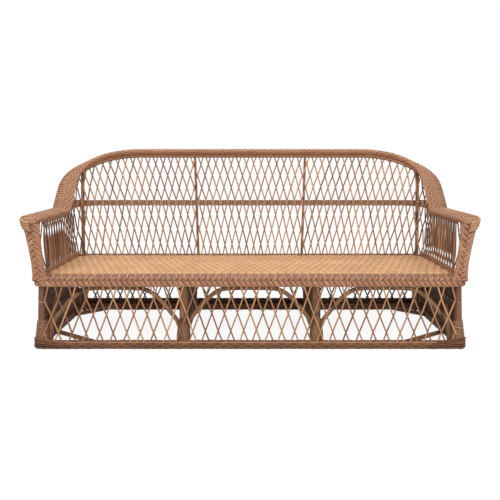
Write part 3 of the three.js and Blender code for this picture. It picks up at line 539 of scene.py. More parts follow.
def hoop_turns(table, total):
    """Turns of core laid side by side over the outer edge of the hoop."""
    turns = Strands(6)
    pitch = 15.6
    slant = 14.0
    across = single(hoop_frame, total / 2)[1]
    outer = 0.0 if across[1] > 0 else 0.5
    reach = np.linspace(-0.24, 0.24, 15)
    for s in np.arange(HOOP["nose"] * 0.8, total - HOOP["nose"] * 0.8, pitch):
        at = s + slant * reach
        origin, across, up = hoop_frame(at)
        wide_scale, thick_scale = hoop_nose(at)
        points, normals = [], []
        for k, share in enumerate(reach):
            x, y, nx, ny = oval_at(table, outer + share)
            normal = nx * across[k] + ny * up[k]
            lift = -3.4 + 6.6 * math.cos(math.pi * share / 0.56)
            bare = origin[k] + across[k] * x * wide_scale[k] + up[k] * y * thick_scale[k]
            points.append(bare + normal * lift)
            normals.append(normal)
        turns.add(points, random.uniform(8.8, 10.0), 5.6, normals, random.uniform(0.2, 0.5))
    turns.make("hoop_turns", WOVEN, "woven_core")


def make_hoop_tips(total):
    """Rolled ends of the hoop at the arm tips, and the knots below them."""
    rolls = Strands(8)
    forward = np.array([0.0, -1.0, 0.0])
    for end, outside in ((0.0, -1), (total, 1)):
        origin, across, up = single(hoop_frame, end)
        for k in range(6):
            turn = math.radians(-80 + 32 * k)
            c, s = math.cos(turn), math.sin(turn)
            reach = 30.0 * (1 - 0.12 * abs(s))
            path = [origin + across * (reach * r) + up * (12.5 * s * (1 - 0.25 * r * r) - 3.5)
                    + forward * ((5.5 * c + 1.0) * math.sqrt(max(1 - (0.86 * r) ** 2, 0)) - 6.0)
                    for r in np.linspace(-1, 1, 15)]
            # Every other roll gets painted shade, so that the rolls read apart.
            rolls.add(path, 8.0, 5.5, forward * c + up * s, 0.05 + 0.4 * (k % 2))
        for k in range(4):
            z = HOOP["arm"] - 4.0 - 11.5 * k
            x = WALL_HIGH["half"] + 36.0 - 3.0 * k - 4.0 * (k == 3)
            knot = np.array([(x + 2, 16.0, z + 9), (x + 6, 4.0, z + 5), (x - 3, -5.0, z),
                             (x - 18, -8.0, z - 5), (x - 32, -6.0, z - 8)]) * (outside, 1, 1)
            # Every other knot gets a little more painted shade.
            rolls.add(smooth_path(knot, 5), 13.0, 11.0, None, 0.1 + 0.15 * (k % 2))
    rolls.make("hoop_tip_rolls", WOVEN, "woven_core")


def make_hoop():
    table = oval_table(HOOP["half"], HOOP["thick"])
    total = HOOP_LENGTH[-1]
    strands = Strands(6)
    ribs = Strands(6)
    woven_oval(strands, ribs, hoop_frame, total, table, hoop_nose, count=40, rib_pitch=17.5, wide=5.4,
               thick=3.6, amp=1.6, inset=2.0, rib_wide=4.0, painted_shade_share=0.5, wobble=0.3, edge_courses=6)
    strands.make("hoop_weave", WOVEN, "woven_core", ["hoop_cover"])
    ribs.make("hoop_ribs", WOVEN, "woven_core")
    hoop_turns(table, total)
    # The core is seen through gaps in the weave, in dark rattan with painted shade.
    oval_core("hoop_core", hoop_frame, total, table, 4.6, hoop_nose, 14.0, BORDER_AND_SHADE_MAT)
    poles = Strands(14)
    inside = np.arange(HOOP["nose"], total - HOOP["nose"], 10.0)
    origin, across, up = hoop_frame(inside)
    for offset in (-26.0, 26.0):
        poles.add(origin + across * offset - up * 3.0, 16.0)
    poles.make("hoop_poles", POLE, "rattan_pole", ["hoop_outer_pole", "hoop_inner_pole"])
    make_hoop_tips(total)


# The lattice of back and arms

def row_heights(column):
    """Heights of the rows of crossings at a column: closer together towards the sides, far apart on the
    arms, where the left and the right one differ."""
    side = min(abs(column) / 22.0, 1.0)
    low = 80.0 - 8.0 * side
    lower = [520.0 - low * k for k in (4, 3, 2, 1, 0)]
    back = np.array(lower + [600.0, 668.0, 734.0, 796.0, 858.0, 920.0])
    first = 455.0 if column < 0 else 405.0
    arm = np.array([220.0, 304.0, first, 585.0, 680.0, 760.0, 820.0, 880.0, 940.0, 1000.0, 1060.0])
    share = min(max((abs(column) - BACK_COLUMNS - 1.0) / 4.0, 0.0), 1.0)
    return back + (arm - back) * share


def row_z(row, column):
    heights = row_heights(column)
    return float(np.interp(row, np.arange(-1, len(heights) - 1), heights))


def hoop_under(column):
    distance = wall_distance(WALL_HIGH, np.array([column]))[0]
    return float(hoop_height(HOOP_TOTAL - abs(distance)))


def wall_strand(start, slope, weave_sign):
    """One strand of the wall from the seat to the hoop. Near an arm tip it follows the last column
    for a while before it ends."""
    columns, heights, outs = [], [], []
    limit = BACK_COLUMNS + ARM_COLUMNS - 2.6
    overrun = 1.6
    foot_z = 268
    hoop_gap = 4
    inside = 0
    seed = random.random() * 6
    drift = random.uniform(-0.04, 0.04)
    row = -0.15
    while row < 8.6:
        column = start + slope * row + drift * math.sin(row * 0.9 + seed)
        z = row_z(row, column)
        if abs(column) <= limit + overrun and foot_z < z:
            inside += abs(column) < limit
            column = min(max(column, -limit), limit)
            if z > hoop_under(column) - hoop_gap:
                break
            columns.append(column)
            heights.append(z)
            outs.append(weave_sign * 3.1 * math.cos(math.pi * row))
        elif columns:
            break
        row += 1 / 7
    if inside < 4 or len(columns) < 10:
        return None
    points, out = wall_place(np.array(columns), np.array(heights), np.array(outs))
    return points, out, columns


def make_walls():
    back = Strands(8)
    sides = {-1: Strands(8), 1: Strands(8)}
    for slope, sign in ((0.5, -1), (-0.5, 1)):
        for start in range(-46, 47):
            made = wall_strand(start, slope, sign)
            if made is None:
                continue
            points, out, columns = made
            middle = columns[len(columns) // 2]
            target = back if abs(middle) <= BACK_COLUMNS - 1 else sides[1 if middle > 0 else -1]
            wide = random.uniform(6.9, 7.7) * (1.0 if target is back else 1.12)
            if target is not back:
                on_arm = np.clip((np.abs(columns) - BACK_COLUMNS - 2.0) / 2.0, 0, 1)
                wide = wide * (1 + 0.42 * on_arm * np.exp(-((points[:, 2] - 400.0) / 62.0) ** 2))
            target.add(points, wide, wide * (0.92 if target is back else 0.66), out)
    for side in (-1, 1):
        last = BACK_COLUMNS + ARM_COLUMNS
        for low_column, low_z, high_column, high_z in ((last - 3.0, 300.0, last - 0.5, 440.0),
                                                       (last - 0.5, 425.0, last - 2.2, 556.0)):
            t = np.linspace(0, 1, 12)
            points, out = wall_place(side * (low_column + (high_column - low_column) * t),
                                     low_z + (high_z - low_z) * t, -1.0)
            sides[side].add(points, 7.4, 5.6, out)
    back.make("back_lattice_strands", STRAND, "woven_core",
              ["back_lattice", "corner_lattice_left", "corner_lattice_right"])
    # The arm lattices take the darker copy of the strand rattan, as painted shade.
    for side, word in SIDES:
        sides[side].make(f"arm_lattice_strands_{word}", SHADED_ARM_STRAND, "woven_core",
                         [f"arm_lattice_{word}"])


def twined_row(strands, columns, k, z, base, swing, wide, thick, painted_shade, wave_painted_shade=0.0, turns=2):
    """One of the strands that are twined in and out along the wall."""
    wave = np.cos(math.pi * (columns * turns + k))
    points, out = wall_place(columns, np.broadcast_to(z, columns.shape), base + swing * wave)
    # Painted shade: the given share, and more where the strand swings outward.
    strands.add(points, wide, thick, out, painted_shade + wave_painted_shade * np.clip(wave, 0, 1))


def make_band():
    strands = Strands(8)
    columns = np.arange(-27.0, 27.01, 0.125)
    spread = np.clip((np.abs(columns) - 21.0) / 4.0, 0, 1) ** 1.5
    for k in range(4):
        z = BAND_Z + (k - 1.5) * 7.8 * (1 + 0.8 * spread)
        # Painted shade where the rows swing outward.
        twined_row(strands, columns, k, z, 0.0, 6.2, 6.8, 6.0, 0.0, 0.35, turns=1)
    strands.make("middle_band_strands", BAND, "woven_core", ["middle_band_front", "middle_band_rear"])
    strips = Strands(8)
    backing = Strands(8)
    z = np.linspace(BAND_Z - 14.5, BAND_Z + 14.5, 5)
    for start in range(-2 * BACK_COLUMNS, 2 * BACK_COLUMNS + 1):
        points, out = wall_place(np.full(5, start / 2 + 0.25), z, 1.0)
        # The backing behind the strips gets painted shade.
        backing.add(points, 19.0, 3.0, out, 0.5)
        if start % 2 == 0:
            for shift in (-0.12, 0.12):
                points, out = wall_place(np.full(5, start / 2 + shift), z, -8.6)
                strips.add(points, 5.6, 4.6, out)
    strips.make("middle_band_strips", STRIP, "woven_core")
    backing.make("middle_band_backing", BAND, "woven_core")


def make_hoop_twining():
    """Two twined rows where the lattice enters the hoop, on its inner side, over a thin one that is
    painted dark as the shadow under the hoop.
    """
    strands = Strands(8)
    last = BACK_COLUMNS + ARM_COLUMNS - 1.5
    columns = np.arange(-last, last + 0.1, 0.125)
    under = np.array([hoop_under(c) for c in columns])
    # The last row is a painted shadow: a thin strand in the full shade tone.
    rows = ((3.0, 6.4, 5.6, 0.0), (3.0, 6.4, 5.6, 0.0), (0.0, 4.4, 4.4, 1.0))
    for k, (swing, wide, thick, painted_shade) in enumerate(rows):
        twined_row(strands, columns, k, under - 13.5 - 5.2 * k, -9.0, swing, wide, thick, painted_shade)
    strands.make("hoop_under_twining", WOVEN, "woven_core")


def make_arm_base():
    """Twined rows where the arm and back lattices enter the seat."""
    strands = Strands(8)
    columns = np.arange(-BACK_COLUMNS, BACK_COLUMNS + 0.01, 0.125)
    # Painted shade where the lattices enter the seat, more on the arms where the rows swing outward.
    for k in range(2):
        twined_row(strands, columns, k, 306.0 + 5.0 * k, -1.0, 4.0, 5.6, 5.0, 0.55)
    for side in (-1, 1):
        columns = side * np.arange(BACK_COLUMNS - 1.0, BACK_COLUMNS + ARM_COLUMNS - 0.3, 0.125)
        for k in range(4):
            twined_row(strands, columns, k, 309.0 + 6.3 * k, -2.0, 4.6, 6.2, 5.4, 0.3, 0.3)
    strands.make("arm_base_twining", WOVEN, "woven_core")


# Poles

def pole_x(z):
    share = np.clip((z - RAIL_Z) / (HOOP["arm"] - RAIL_Z), 0, 1)
    return LEG_X + (WALL_HIGH["half"] - LEG_X) * share


def helix(axis, radius, pitch, squash=(1.0, 1.0), steps=18):
    """Turns wound round an axis that is given as places from low to high."""
    axis = np.asarray(axis, dtype=float)
    length = path_length(axis)
    turns = length[-1] / pitch
    t = np.linspace(0, 1, int(turns * steps) + 1)
    angle = 2 * math.pi * turns * t
    ring = places(np.cos(angle) * squash[0], np.sin(angle) * squash[1], 0.0)
    return pick(t * length[-1], length, axis) + ring * radius, ring


def pole(name, path, radius, nodes, material=None, slot="rattan_pole"):
    strands = Strands(18)
    bumps = 1 + 0.012 * np.sin(np.arange(len(path)) * 0.37 + random.random() * 6)
    strands.add(path, 2 * radius * bumps)
    strands.make(name, material or POLE, slot, nodes)


def post_ends(low_share, high_share, top_share):
    """Ends of a post behind the lattice, by shares of the back's half width at its foot and top."""
    low, _ = wall_place(np.array([low_share * BACK_COLUMNS]), 280.0, 22.0)
    high, _ = wall_place(np.array([high_share * BACK_COLUMNS]), 850.0, 22.0)
    return np.array([low[0], low[0] + (high[0] - low[0]) * top_share])


def make_poles():
    for side, word in SIDES:
        heights = np.arange(0.0, 556.0, 8.0)
        axis = places(side * pole_x(heights), LEG_Y, heights)
        pole(f"corner_pole_core_{word}", axis, LEG_R - 2.2, [f"corner_pole_{word}"])
        wound = Strands(6)
        path, out = helix(axis[axis[:, 2] > 100.0], 1.0, WINDING_PITCH)
        grow = LEG_R + np.array([2.6, 1.8, 0.2, -1.6])
        grow = np.interp(path[:, 2], [100.0, 130.0, 270.0, 300.0], grow)
        shift = np.interp(path[:, 2], [268.0, 300.0], [2.6, 0.0])
        centres = np.column_stack([side * (pole_x(path[:, 2]) + shift), np.full(len(path), LEG_Y)])
        path[:, :2] = centres + out[:, :2] * grow[:, None]
        wound.add(path, 5.1, 4.4, out, 0.16)
        wound.make(f"corner_pole_winding_{word}", WRAP, "woven_core")

        x = side * MIDDLE_X
        pole(f"front_middle_pole_{word}", straight_path((x, LEG_Y, 0), (x, LEG_Y, 272)), LEG_R,
             [f"front_middle_leg_{word}"])
        wound = Strands(6)
        x -= side * 5.0
        ends = [(x, LEG_Y + 2.0, 100.0), (x, LEG_Y + 2.0, 266.0)]
        path, out = helix(ends, LEG_R + 1.0, WINDING_PITCH, (1.32, 1.0))
        wound.add(path, 5.1, 3.6, out, 0.25)
        wound.make(f"front_middle_winding_{word}", WRAP, "woven_core")

        mirror = np.array([side, 1.0, 1.0])
        straight = (
            ("rear_corner_pole", "rear_corner_leg", LEG_R,
             [(LEG_X, REAR_FOOT_Y, 0.0), (LEG_X, REAR_RAIL_Y, REAR_LEG_TOP)]),
            ("rear_middle_pole", "rear_middle_leg", LEG_R,
             [(310.0, REAR_FOOT_Y, 0.0), (296.0, REAR_RAIL_Y, REAR_LEG_TOP)]),
            ("side_rail_pole", "side_seat_rail", LEG_R,
             [(904.0, 43.0, RAIL_Z), (904.0, 660.0, RAIL_Z - RAIL_FALL)]),
            ("bearer_pole", "seat_bearer", THIN_R, [(MIDDLE_X, *end) for end in BEARER_ENDS]),
            ("rear_corner_post_pole", "rear_corner_post", 9.5, post_ends(0.932, 0.872, 0.86)),
            ("rear_middle_post_pole", "rear_middle_post", 7.0, post_ends(0.292, 0.292, 0.99)),
            ("front_brace_pole", "front_corner_brace", THIN_R,
             [(902.0, 213.0, BRACE_Z), (668.0, 33.0, BRACE_Z)]),
            ("rear_brace_pole", "rear_corner_brace", THIN_R,
             [(902.0, 533.0, BRACE_Z), (733.0, 695.0, BRACE_Z)]),
        )
        for name, node, radius, ends in straight:
            pole(f"{name}_{word}", straight_path(*(mirror * ends)), radius, [f"{node}_{word}"])
    pole("front_rail_pole", straight_path((-898, 29.3, RAIL_Z), (898, 29.3, RAIL_Z)), LEG_R,
         ["front_seat_rail"])
    z = RAIL_Z - RAIL_FALL
    pole("rear_rail_pole", straight_path((-917, REAR_RAIL_Y, z), (917, REAR_RAIL_Y, z)), LEG_R,
         ["rear_seat_rail"])
    ends = [(0, *end) for end in BEARER_ENDS]
    pole("bearer_pole_middle", straight_path(*ends), THIN_R, ["seat_bearer_middle"])


SHOULDER = [(0, 0.2), (0.03, 0.38), (0.2, 0.57), (0.45, 0.8), (0.7, 0.95), (1, 1)]


def arch_points(from_, to, at):
    foot_z = 2.0
    width = math.copysign(200.0, to - from_)
    points = [at(from_, foot_z)]
    points += [at(from_ + a * width, foot_z + b * ARCH_RISE) for a, b in SHOULDER]
    points += [at(to - a * width, foot_z + b * ARCH_RISE) for a, b in reversed(SHOULDER)]
    points.append(at(to, foot_z))
    return smooth_path(points, 7)


def make_arches():
    def front(x, z):
        return (x, 48.3, z)
    spans = {"front_arch_left": (-883.0, -307.8), "front_arch_middle": (-282.2, 282.2),
             "front_arch_right": (883.0, 307.8)}
    for node, (a, b) in spans.items():
        pole(f"{node}_pole", arch_points(a, b, front), ARCH_R, [node], ARCH)
    for side, word in SIDES:
        path = arch_points(73.0, 640.0, lambda y, z, s=side: (s * 886.7, y, z))
        pole(f"side_arch_pole_{word}", path, ARCH_R, [f"side_arch_{word}"], ARCH)


def make_wraps():
    """Turns of core round the feet. The front ones taper upwards like a bell."""
    low_z, bell_z, high_z = 30.0, 50.0, 121.0
    kinds = (
        ("corner_leg_wrap", (LEG_X, LEG_Y), (LEG_X, LEG_Y), (1.36, 1.05), 20.5),
        ("middle_leg_wrap", (292.0, 36.7), (292.0, 36.7), (1.4, 1.08), 20.5),
        ("rear_corner_wrap", (LEG_X, 696.3), (LEG_X, 688.3), (1.3, 1.0), 19.0),
        ("rear_middle_wrap", (308.0, 696.3), (303.7, 688.3), (1.0, 1.0), 15.0),
    )
    for side, word in SIDES:
        for kind, low, high, squash, radius in kinds:
            strands = Strands(8)
            ends = [(side * low[0], low[1], low_z), (side * high[0], high[1], high_z)]
            path, out = helix(ends, radius, 6.4, squash, 24)
            # The rear wraps stand in shade under the seat and take the dark rattan as painted shade.
            material, slot = BORDER_AND_SHADE_MAT, "border_core"
            if not kind.startswith("rear"):
                material, slot = WRAP, "woven_core"
                taper = np.clip((path[:, 2:] - bell_z) / (high_z - bell_z), 0, 1)
                path[:, :2] -= out[:, :2] * (radius * 0.26 * taper)
            shade = np.random.default_rng(3).random(len(path))
            strands.add(path, 7.0, 5.4, out, 0.1 + 0.25 * shade)
            strands.make(f"{kind}_{word}_winding", material, slot, [f"{kind}_{word}"])


# Skirts

def skirt_strands(strands, at, half, pitch, row_low, row_high, wide, painted_shade=0.0, middle_z=158.0,
                  rows=72.0):
    """Crossed strands: at(along, z, outward) gives the place, and crossings lie on rows of heights."""
    first = -int(half / pitch) - 6
    for slope, sign in ((0.5, 1), (-0.5, -1)):
        for start in range(first, -first + 1):
            path = []
            drift = random.uniform(-1.2, 1.2)
            for row in np.arange(row_low, row_high, 1 / 8):
                along = (start + slope * row) * pitch + drift
                if abs(along) > half:
                    if path:
                        break
                    continue
                path.append(at(along, middle_z + rows * row, sign * 3.0 * math.cos(math.pi * row)))
            if len(path) > 3:
                size = random.uniform(wide - 0.3, wide + 0.4)
                strands.add(path, size, size * 0.92, dips=painted_shade)


def make_skirts():
    front = Strands(8)

    def front_at(a, z, o):
        over = max(abs(a) - 350.0, 0.0) / 490.0
        drop = 12.0 * min(abs(a) / 420.0, 1.0)
        drop += 14.0 * max(abs(a) - 770.0, 0.0) / 96.0 * min(max((z - 110.0) / 120.0, 0.0), 1.0)
        drop = drop * min(1.0, (268.0 - z) / 36.0)
        return (a + math.copysign(33.0 * over ** 1.3, a), 6.5 - o, z - drop)
    skirt_strands(front, front_at, half=864.0, pitch=55.5, row_low=-1.6, row_high=1.6, wide=7.2,
                  rows=75.0)
    ties = Strands(8)
    angle = np.linspace(0, 2 * math.pi, 25)[:-1]
    for side in (-1, 1):
        for z, radius in ((202.0, 15.4), (92.0, 23.0)):
            loop = places(side * LEG_X + radius * np.cos(angle), LEG_Y + radius * np.sin(angle),
                          z - 3 * np.cos(angle))
            ties.add(loop, 6.0, 3.6, loop=True)
    ties.make("skirt_ties", STRAND, "woven_core")
    front.make("front_skirt_strands", STRAND, "woven_core", ["front_skirt_lattice"])

    rear = Strands(8)

    def rear_at(a, z, o):
        share = (z - 38.0) / (266.7 - 38.0)
        y = 722.5 + (692.5 - 722.5) * min(max(share, 0.0), 1.0)
        return (a, y + o, z)
    # The rear skirt lies in shade: dark rattan and painted shade.
    skirt_strands(rear, rear_at, half=890.0, pitch=68.0, row_low=-1.62, row_high=1.46, wide=8.2,
                  painted_shade=0.6, middle_z=150.0, rows=76.0)
    rear.make("rear_skirt_strands", BORDER_AND_SHADE_MAT, "border_core", ["rear_skirt_lattice"])
    foot = Strands(8)
    foot_y = 716.0
    x = np.arange(-896.0, 896.1, 5.0)
    # Rows painted dark as shade at the foot of the rear skirt.
    for k in range(5):
        wave = np.cos(math.pi * (x / 17.0 + k))
        foot.add(places(x, foot_y + 4.0 * wave, 35.0 + 5.6 * k), 7.6, 6.4, UP, 0.7)
    # A thin sheet in the full shade tone behind the rows: painted shadow.
    foot.add(places(x, foot_y, 46.0), 4.0, 30.0, UP, 1.0)
    foot.make("rear_skirt_twining", BORDER_AND_SHADE_MAT, "border_core")
    for side, word in SIDES:
        strands = Strands(8)

        def side_at(a, z, o, s=side):
            share = (a + 310.0) / 620.0
            return (s * (924.0 + o), 360.0 + a - share * 0.097 * z, z)
        # The side skirts are seen in shade under the arms: dark rattan and painted shade.
        skirt_strands(strands, side_at, half=312.0, pitch=24.0, row_low=-1.74, row_high=1.6, wide=7.4,
                      painted_shade=0.62)
        strands.make(f"side_skirt_strands_{word}", BORDER_AND_SHADE_MAT, "border_core",
                     [f"side_skirt_lattice_{word}"])


def make_middle_frames():
    """Lattice, floor bar and arch between the front and the rear middle legs, in dark rattan and
    painted shade, as they stand in shade under the seat.
    """
    inner_x = 297.0
    for side, word in SIDES:
        strands = Strands(8)

        def inner_at(a, z, o, s=side):
            return (s * (inner_x + o), 372.0 + a, z)
        skirt_strands(strands, inner_at, half=300.0, pitch=34.0, row_low=-1.7, row_high=1.5, wide=6.4,
                      painted_shade=0.75)
        y = np.arange(62.0, 690.0, 6.0)
        for k in range(5):
            wave = np.cos(math.pi * (y / 17.0 + k))
            strands.add(places(side * inner_x + 5.0 * wave, y, 4.0 + 7.0 * k), 7.4, 6.6, UP, 0.6)
        strands.make(f"middle_frame_lattice_{word}", BORDER_AND_SHADE_MAT, "border_core")
        path = arch_points(76.0, 664.0, lambda y, z, s=side: (s * inner_x, y, z))
        pole(f"middle_frame_arch_{word}", path, 9.0, [], BORDER_AND_SHADE_MAT, "border_core")


# Deck

def deck_z(y):
    return DECK_TOP - RAIL_FALL * (y - DECK_FRONT) / (REAR_RAIL_Y - DECK_FRONT)


def deck_half_width(y):
    half, rear, radius = 917.0, 650.0, 62.0
    if y > rear - radius:
        part = min((y - (rear - radius)) / radius, 1.0)
        return half - radius + radius * math.sqrt(max(1 - part * part, 0.0))
    if y < 44:
        return 872.0 + 26.0 * min((y - 17) / 27, 1)
    return half


FRONT_BAND = (20.0, 106.0)  # brown rows between the plaited edge and the pale deck
FAN_REACH = 2720.0  # the stakes of those rows fan out from a point this far in front


def fan(y):
    """How far the stakes have spread at this depth."""
    return 1 + (y - FRONT_BAND[0]) / FAN_REACH


def make_deck_front():
    """Brown rows with pale stakes, between the plaited edge and the pale deck."""
    first, last = FRONT_BAND
    rows = Strands(8)
    for y in np.arange(first, last, 7.4):
        half = 870.0 + 0.4 * (y - first)
        x = np.arange(-half, half + 0.1, STAKE_PITCH / 6)
        wave = np.cos(2 * math.pi * x / (STAKE_PITCH * fan(y)))
        # Painted shade: deep on the rows at the two edges, light on the others, deepest under the
        # stakes.
        dark = 0.75 if min(y - first, last - y) < 8 else 0.3
        dips = dark * np.clip(0.7 + 0.3 * wave, 0, 1)
        rows.add(places(x, y, deck_z(y) - 4.2 - wave), 7.2, 4.4, UP, dips)
    rows.make("seat_front_rows", WRAP, "woven_core")
    stakes = Strands(8)
    y = np.linspace(first - 2, last + 4, 9)
    bow = np.sin(np.linspace(0, math.pi, 9))
    for x in np.arange(-24 * STAKE_PITCH, 24.1 * STAKE_PITCH, STAKE_PITCH):
        stakes.add(places(x * fan(y), y, deck_z(y) - 3.4 + 2.2 * bow), 4.2, 4.2, UP, 0.1)
    x = np.arange(-872.0, 872.1, STAKE_PITCH / 6)
    wave = np.cos(2 * math.pi * x / STAKE_PITCH)
    y = last - 2
    stakes.add(places(x, y, deck_z(y) - 2.4 + wave), 6.0, 4.0, UP)
    stakes.make("seat_front_stakes", DECK, "seat_core")


def make_deck():
    strands = Strands(6)
    y = FRONT_BAND[1] + 4.0
    k = 0
    while y < 649:
        half = deck_half_width(y)
        x = np.arange(-half, half + 0.1, DECK_RIB / 3)
        wave = np.cos(math.pi * (x / DECK_RIB + k // 7))
        points = places(x, y + 0.5 * np.sin(x / 90.0 + k), deck_z(y) - 3.4 + 1.5 * wave)
        # Painted shade where a row lies low, under a rib.
        strands.add(points, 7.2, 3.2, UP, 0.45 * np.clip(0.5 - 0.5 * wave, 0, 1) ** 1.5)
        y += DECK_ROW
        k += 1
    strands.make("seat_deck_strands", DECK, "seat_core", ["seat_deck"])
    ribs = Strands(6)
    for x in np.arange(-51 * DECK_RIB, 51.1 * DECK_RIB, DECK_RIB) + DECK_RIB / 2:
        reach = 648.0 if abs(x) < 850 else 600.0
        y = np.arange(DECK_FRONT + 12, reach, 14.0)
        # Painted shade on the ribs, which lie mostly under the rows.
        ribs.add(places(x, y, deck_z(y) - 3.2), 5.0, 3.4, UP, 0.35)
    ribs.make("seat_deck_ribs", DECK, "seat_core")
    right = [(deck_half_width(y) - 1, y) for y in np.linspace(22, 650, 60)]
    left = [(-x, y) for x, y in right]
    outline = left[::-1] + right
    rings = [[(x, y, deck_z(y) - deep) for x, y in outline] for deep in (10.0, 6.0)]
    piece("seat_deck_core", loft_mesh("seat_deck_core", rings, 0.5), DECK)
    make_deck_front()


# Plaits

def plait(strands, surface, total, period, strokes, cross, way, wide, thick, swell, gather, shade,
          bounds=(-1.0, 1.0), middle=0.0, bend=1.0):
    """Strokes from the middle line to both edges. surface(s, w, out) gives place and normal; w runs
    from -1 to 1 across. Strokes lean so that the chevrons point along +s when way is 1."""
    count = int(total / period)
    period = total / count
    tuck = 0.15
    for k in range(-1, count + 2):
        for hand, edge, stroke, tone in zip((-1, 1), bounds, strokes, shade):
            shift = 0.0 if hand < 0 else period / 2
            for j in (-0.5, 0.5):
                along = k * period + shift + j * period / 2 * gather
                path, normals, dips = [], [], []
                for t in np.linspace(0, 1, 13):
                    w = middle - hand * cross + (edge - middle + hand * cross) * t
                    s = along + way * stroke * (0.5 - t ** bend)
                    s = min(max(s, 0.0), total)
                    lift = swell * math.sin(math.pi * min(t * 1.25, 1.0))
                    lift -= 1.5 * max(tuck - t, 0) / tuck
                    point, normal = surface(s, w, lift)
                    path.append(point)
                    normals.append(normal)
                    # Painted shade: deep where a stroke tucks under at the middle line, plus tone, the
                    # shade given for its hand.
                    dips.append(0.6 * max(0.18 - t, 0) / 0.18 + tone)
                strands.add(path, wide, thick, normals, np.clip(dips, 0, 1))


def make_arm_braids():
    low, high = 300.0, 548.0
    ups = np.array([0, 0.1, 0.32, 0.6, 0.84, 1.0])
    shares = np.array([0.9, 0.76, 0.67, 0.74, 0.84, 1.0])
    for side, word in SIDES:
        def surface(s, w, out, side=side):
            z = low + s
            half = 42.5 * float(np.interp(s / (high - low), ups, shares)) - 5.5
            turn = math.radians(88) * w
            x = side * (float(pole_x(z)) + 3.5) + half * math.sin(turn)
            y = 11.0 - 7.0 * math.cos(turn)
            if abs(w) > 0.8:
                y += (abs(w) - 0.8) * 30
            normal = np.array([math.sin(turn) * 0.8, -max(math.cos(turn), 0.15), 0.0])
            normal = normal / np.linalg.norm(normal)
            return np.array([x, y, z]) + normal * out, normal
        strands = Strands(8)
        shade = (0.0, 0.12) if side < 0 else (0.12, 0.0)
        plait(strands, surface, high - low, period=24.0, strokes=(44.0, 44.0), cross=0.10, way=-side,
              wide=10.4, thick=7.4, swell=2.6, gather=0.76, shade=shade, bend=1.5)
        strands.make(f"arm_braid_strands_{word}", PLAIT, "woven_core", [f"arm_braid_{word}"])
        rings = []
        for s in np.linspace(0, high - low, 24):
            rings.append([surface(s, w, -3.0)[0] for w in np.linspace(-0.95, 0.95, 15)]
                         + [surface(s, w, -9.0)[0] for w in np.linspace(0.9, -0.9, 7)])
        name = f"arm_braid_core_{word}"
        piece(name, loft_mesh(name, rings, 0.45), PLAIT)


def make_seat_braid():
    skin = 8.0
    outline = dict(half=947.0 - skin, rear=0.0, radius=42.0 - skin)
    reach = corner_end(outline) + 62.0
    middle_z, tall, deep = 291.5, 18.5, 5.5

    def surface(s, w, out):
        plan, outward = plan_place(outline, np.array(s - reach))
        outward = np.array([outward[0], -outward[1], 0.0])
        turn = math.radians(100) * w
        normal = outward * math.cos(turn) + UP * math.sin(turn)
        base = np.array([plan[0], skin - plan[1], middle_z])
        place = base + outward * deep * math.cos(turn) + UP * tall * math.sin(turn)
        return place + normal * out, normal

    strands = Strands(8)
    plait(strands, surface, 2 * reach, period=24.1, strokes=(32.0, 17.0), cross=0.08, way=-1, wide=9.8,
          thick=7.0, swell=3.0, gather=0.78, shade=(0.0, 0.22), bounds=(-1.0, 0.95), middle=0.14)
    strands.make("seat_edge_braid_strands", PLAIT, "woven_core", ["seat_edge_braid"])
    rings = []
    for s in np.linspace(0, 2 * reach, 260):
        rings.append([surface(s, w, -3.2)[0] for w in np.linspace(-1, 0.9, 13)])
    piece("seat_edge_braid_core", loft_mesh("seat_edge_braid_core", rings, 0.5), PLAIT)


# Floor border

def border_line():
    inset = BORDER["wide"] / 2
    r = BORDER["radius"] - inset
    x = BORDER["half"] - inset - r
    low, high = BORDER["wide"] / 2 + r, BORDER["depth"] - inset - r
    points = []
    for cx, cy, start in ((x, low, -90), (x, high, 0), (-x, high, 90), (-x, low, 180)):
        for t in np.linspace(0, 90, 9):
            a = math.radians(start + t)
            points.append((cx + r * math.cos(a), cy + r * math.sin(a), BORDER["tall"] / 2))
    points.append(points[0])
    points = np.array(points)
    return path_length(points), points


BORDER_LENGTH, BORDER_POINTS = border_line()


def border_frame(at):
    def around(s):
        return pick(np.mod(s, BORDER_LENGTH[-1]), BORDER_LENGTH, BORDER_POINTS)
    at = np.asarray(at, dtype=float)
    along = unit(around(at + 4.0) - around(at - 4.0))
    across = unit(np.cross(along, UP))
    return around(at), across, np.broadcast_to(UP, across.shape)


def no_scale(at):
    return np.ones_like(at), np.ones_like(at)


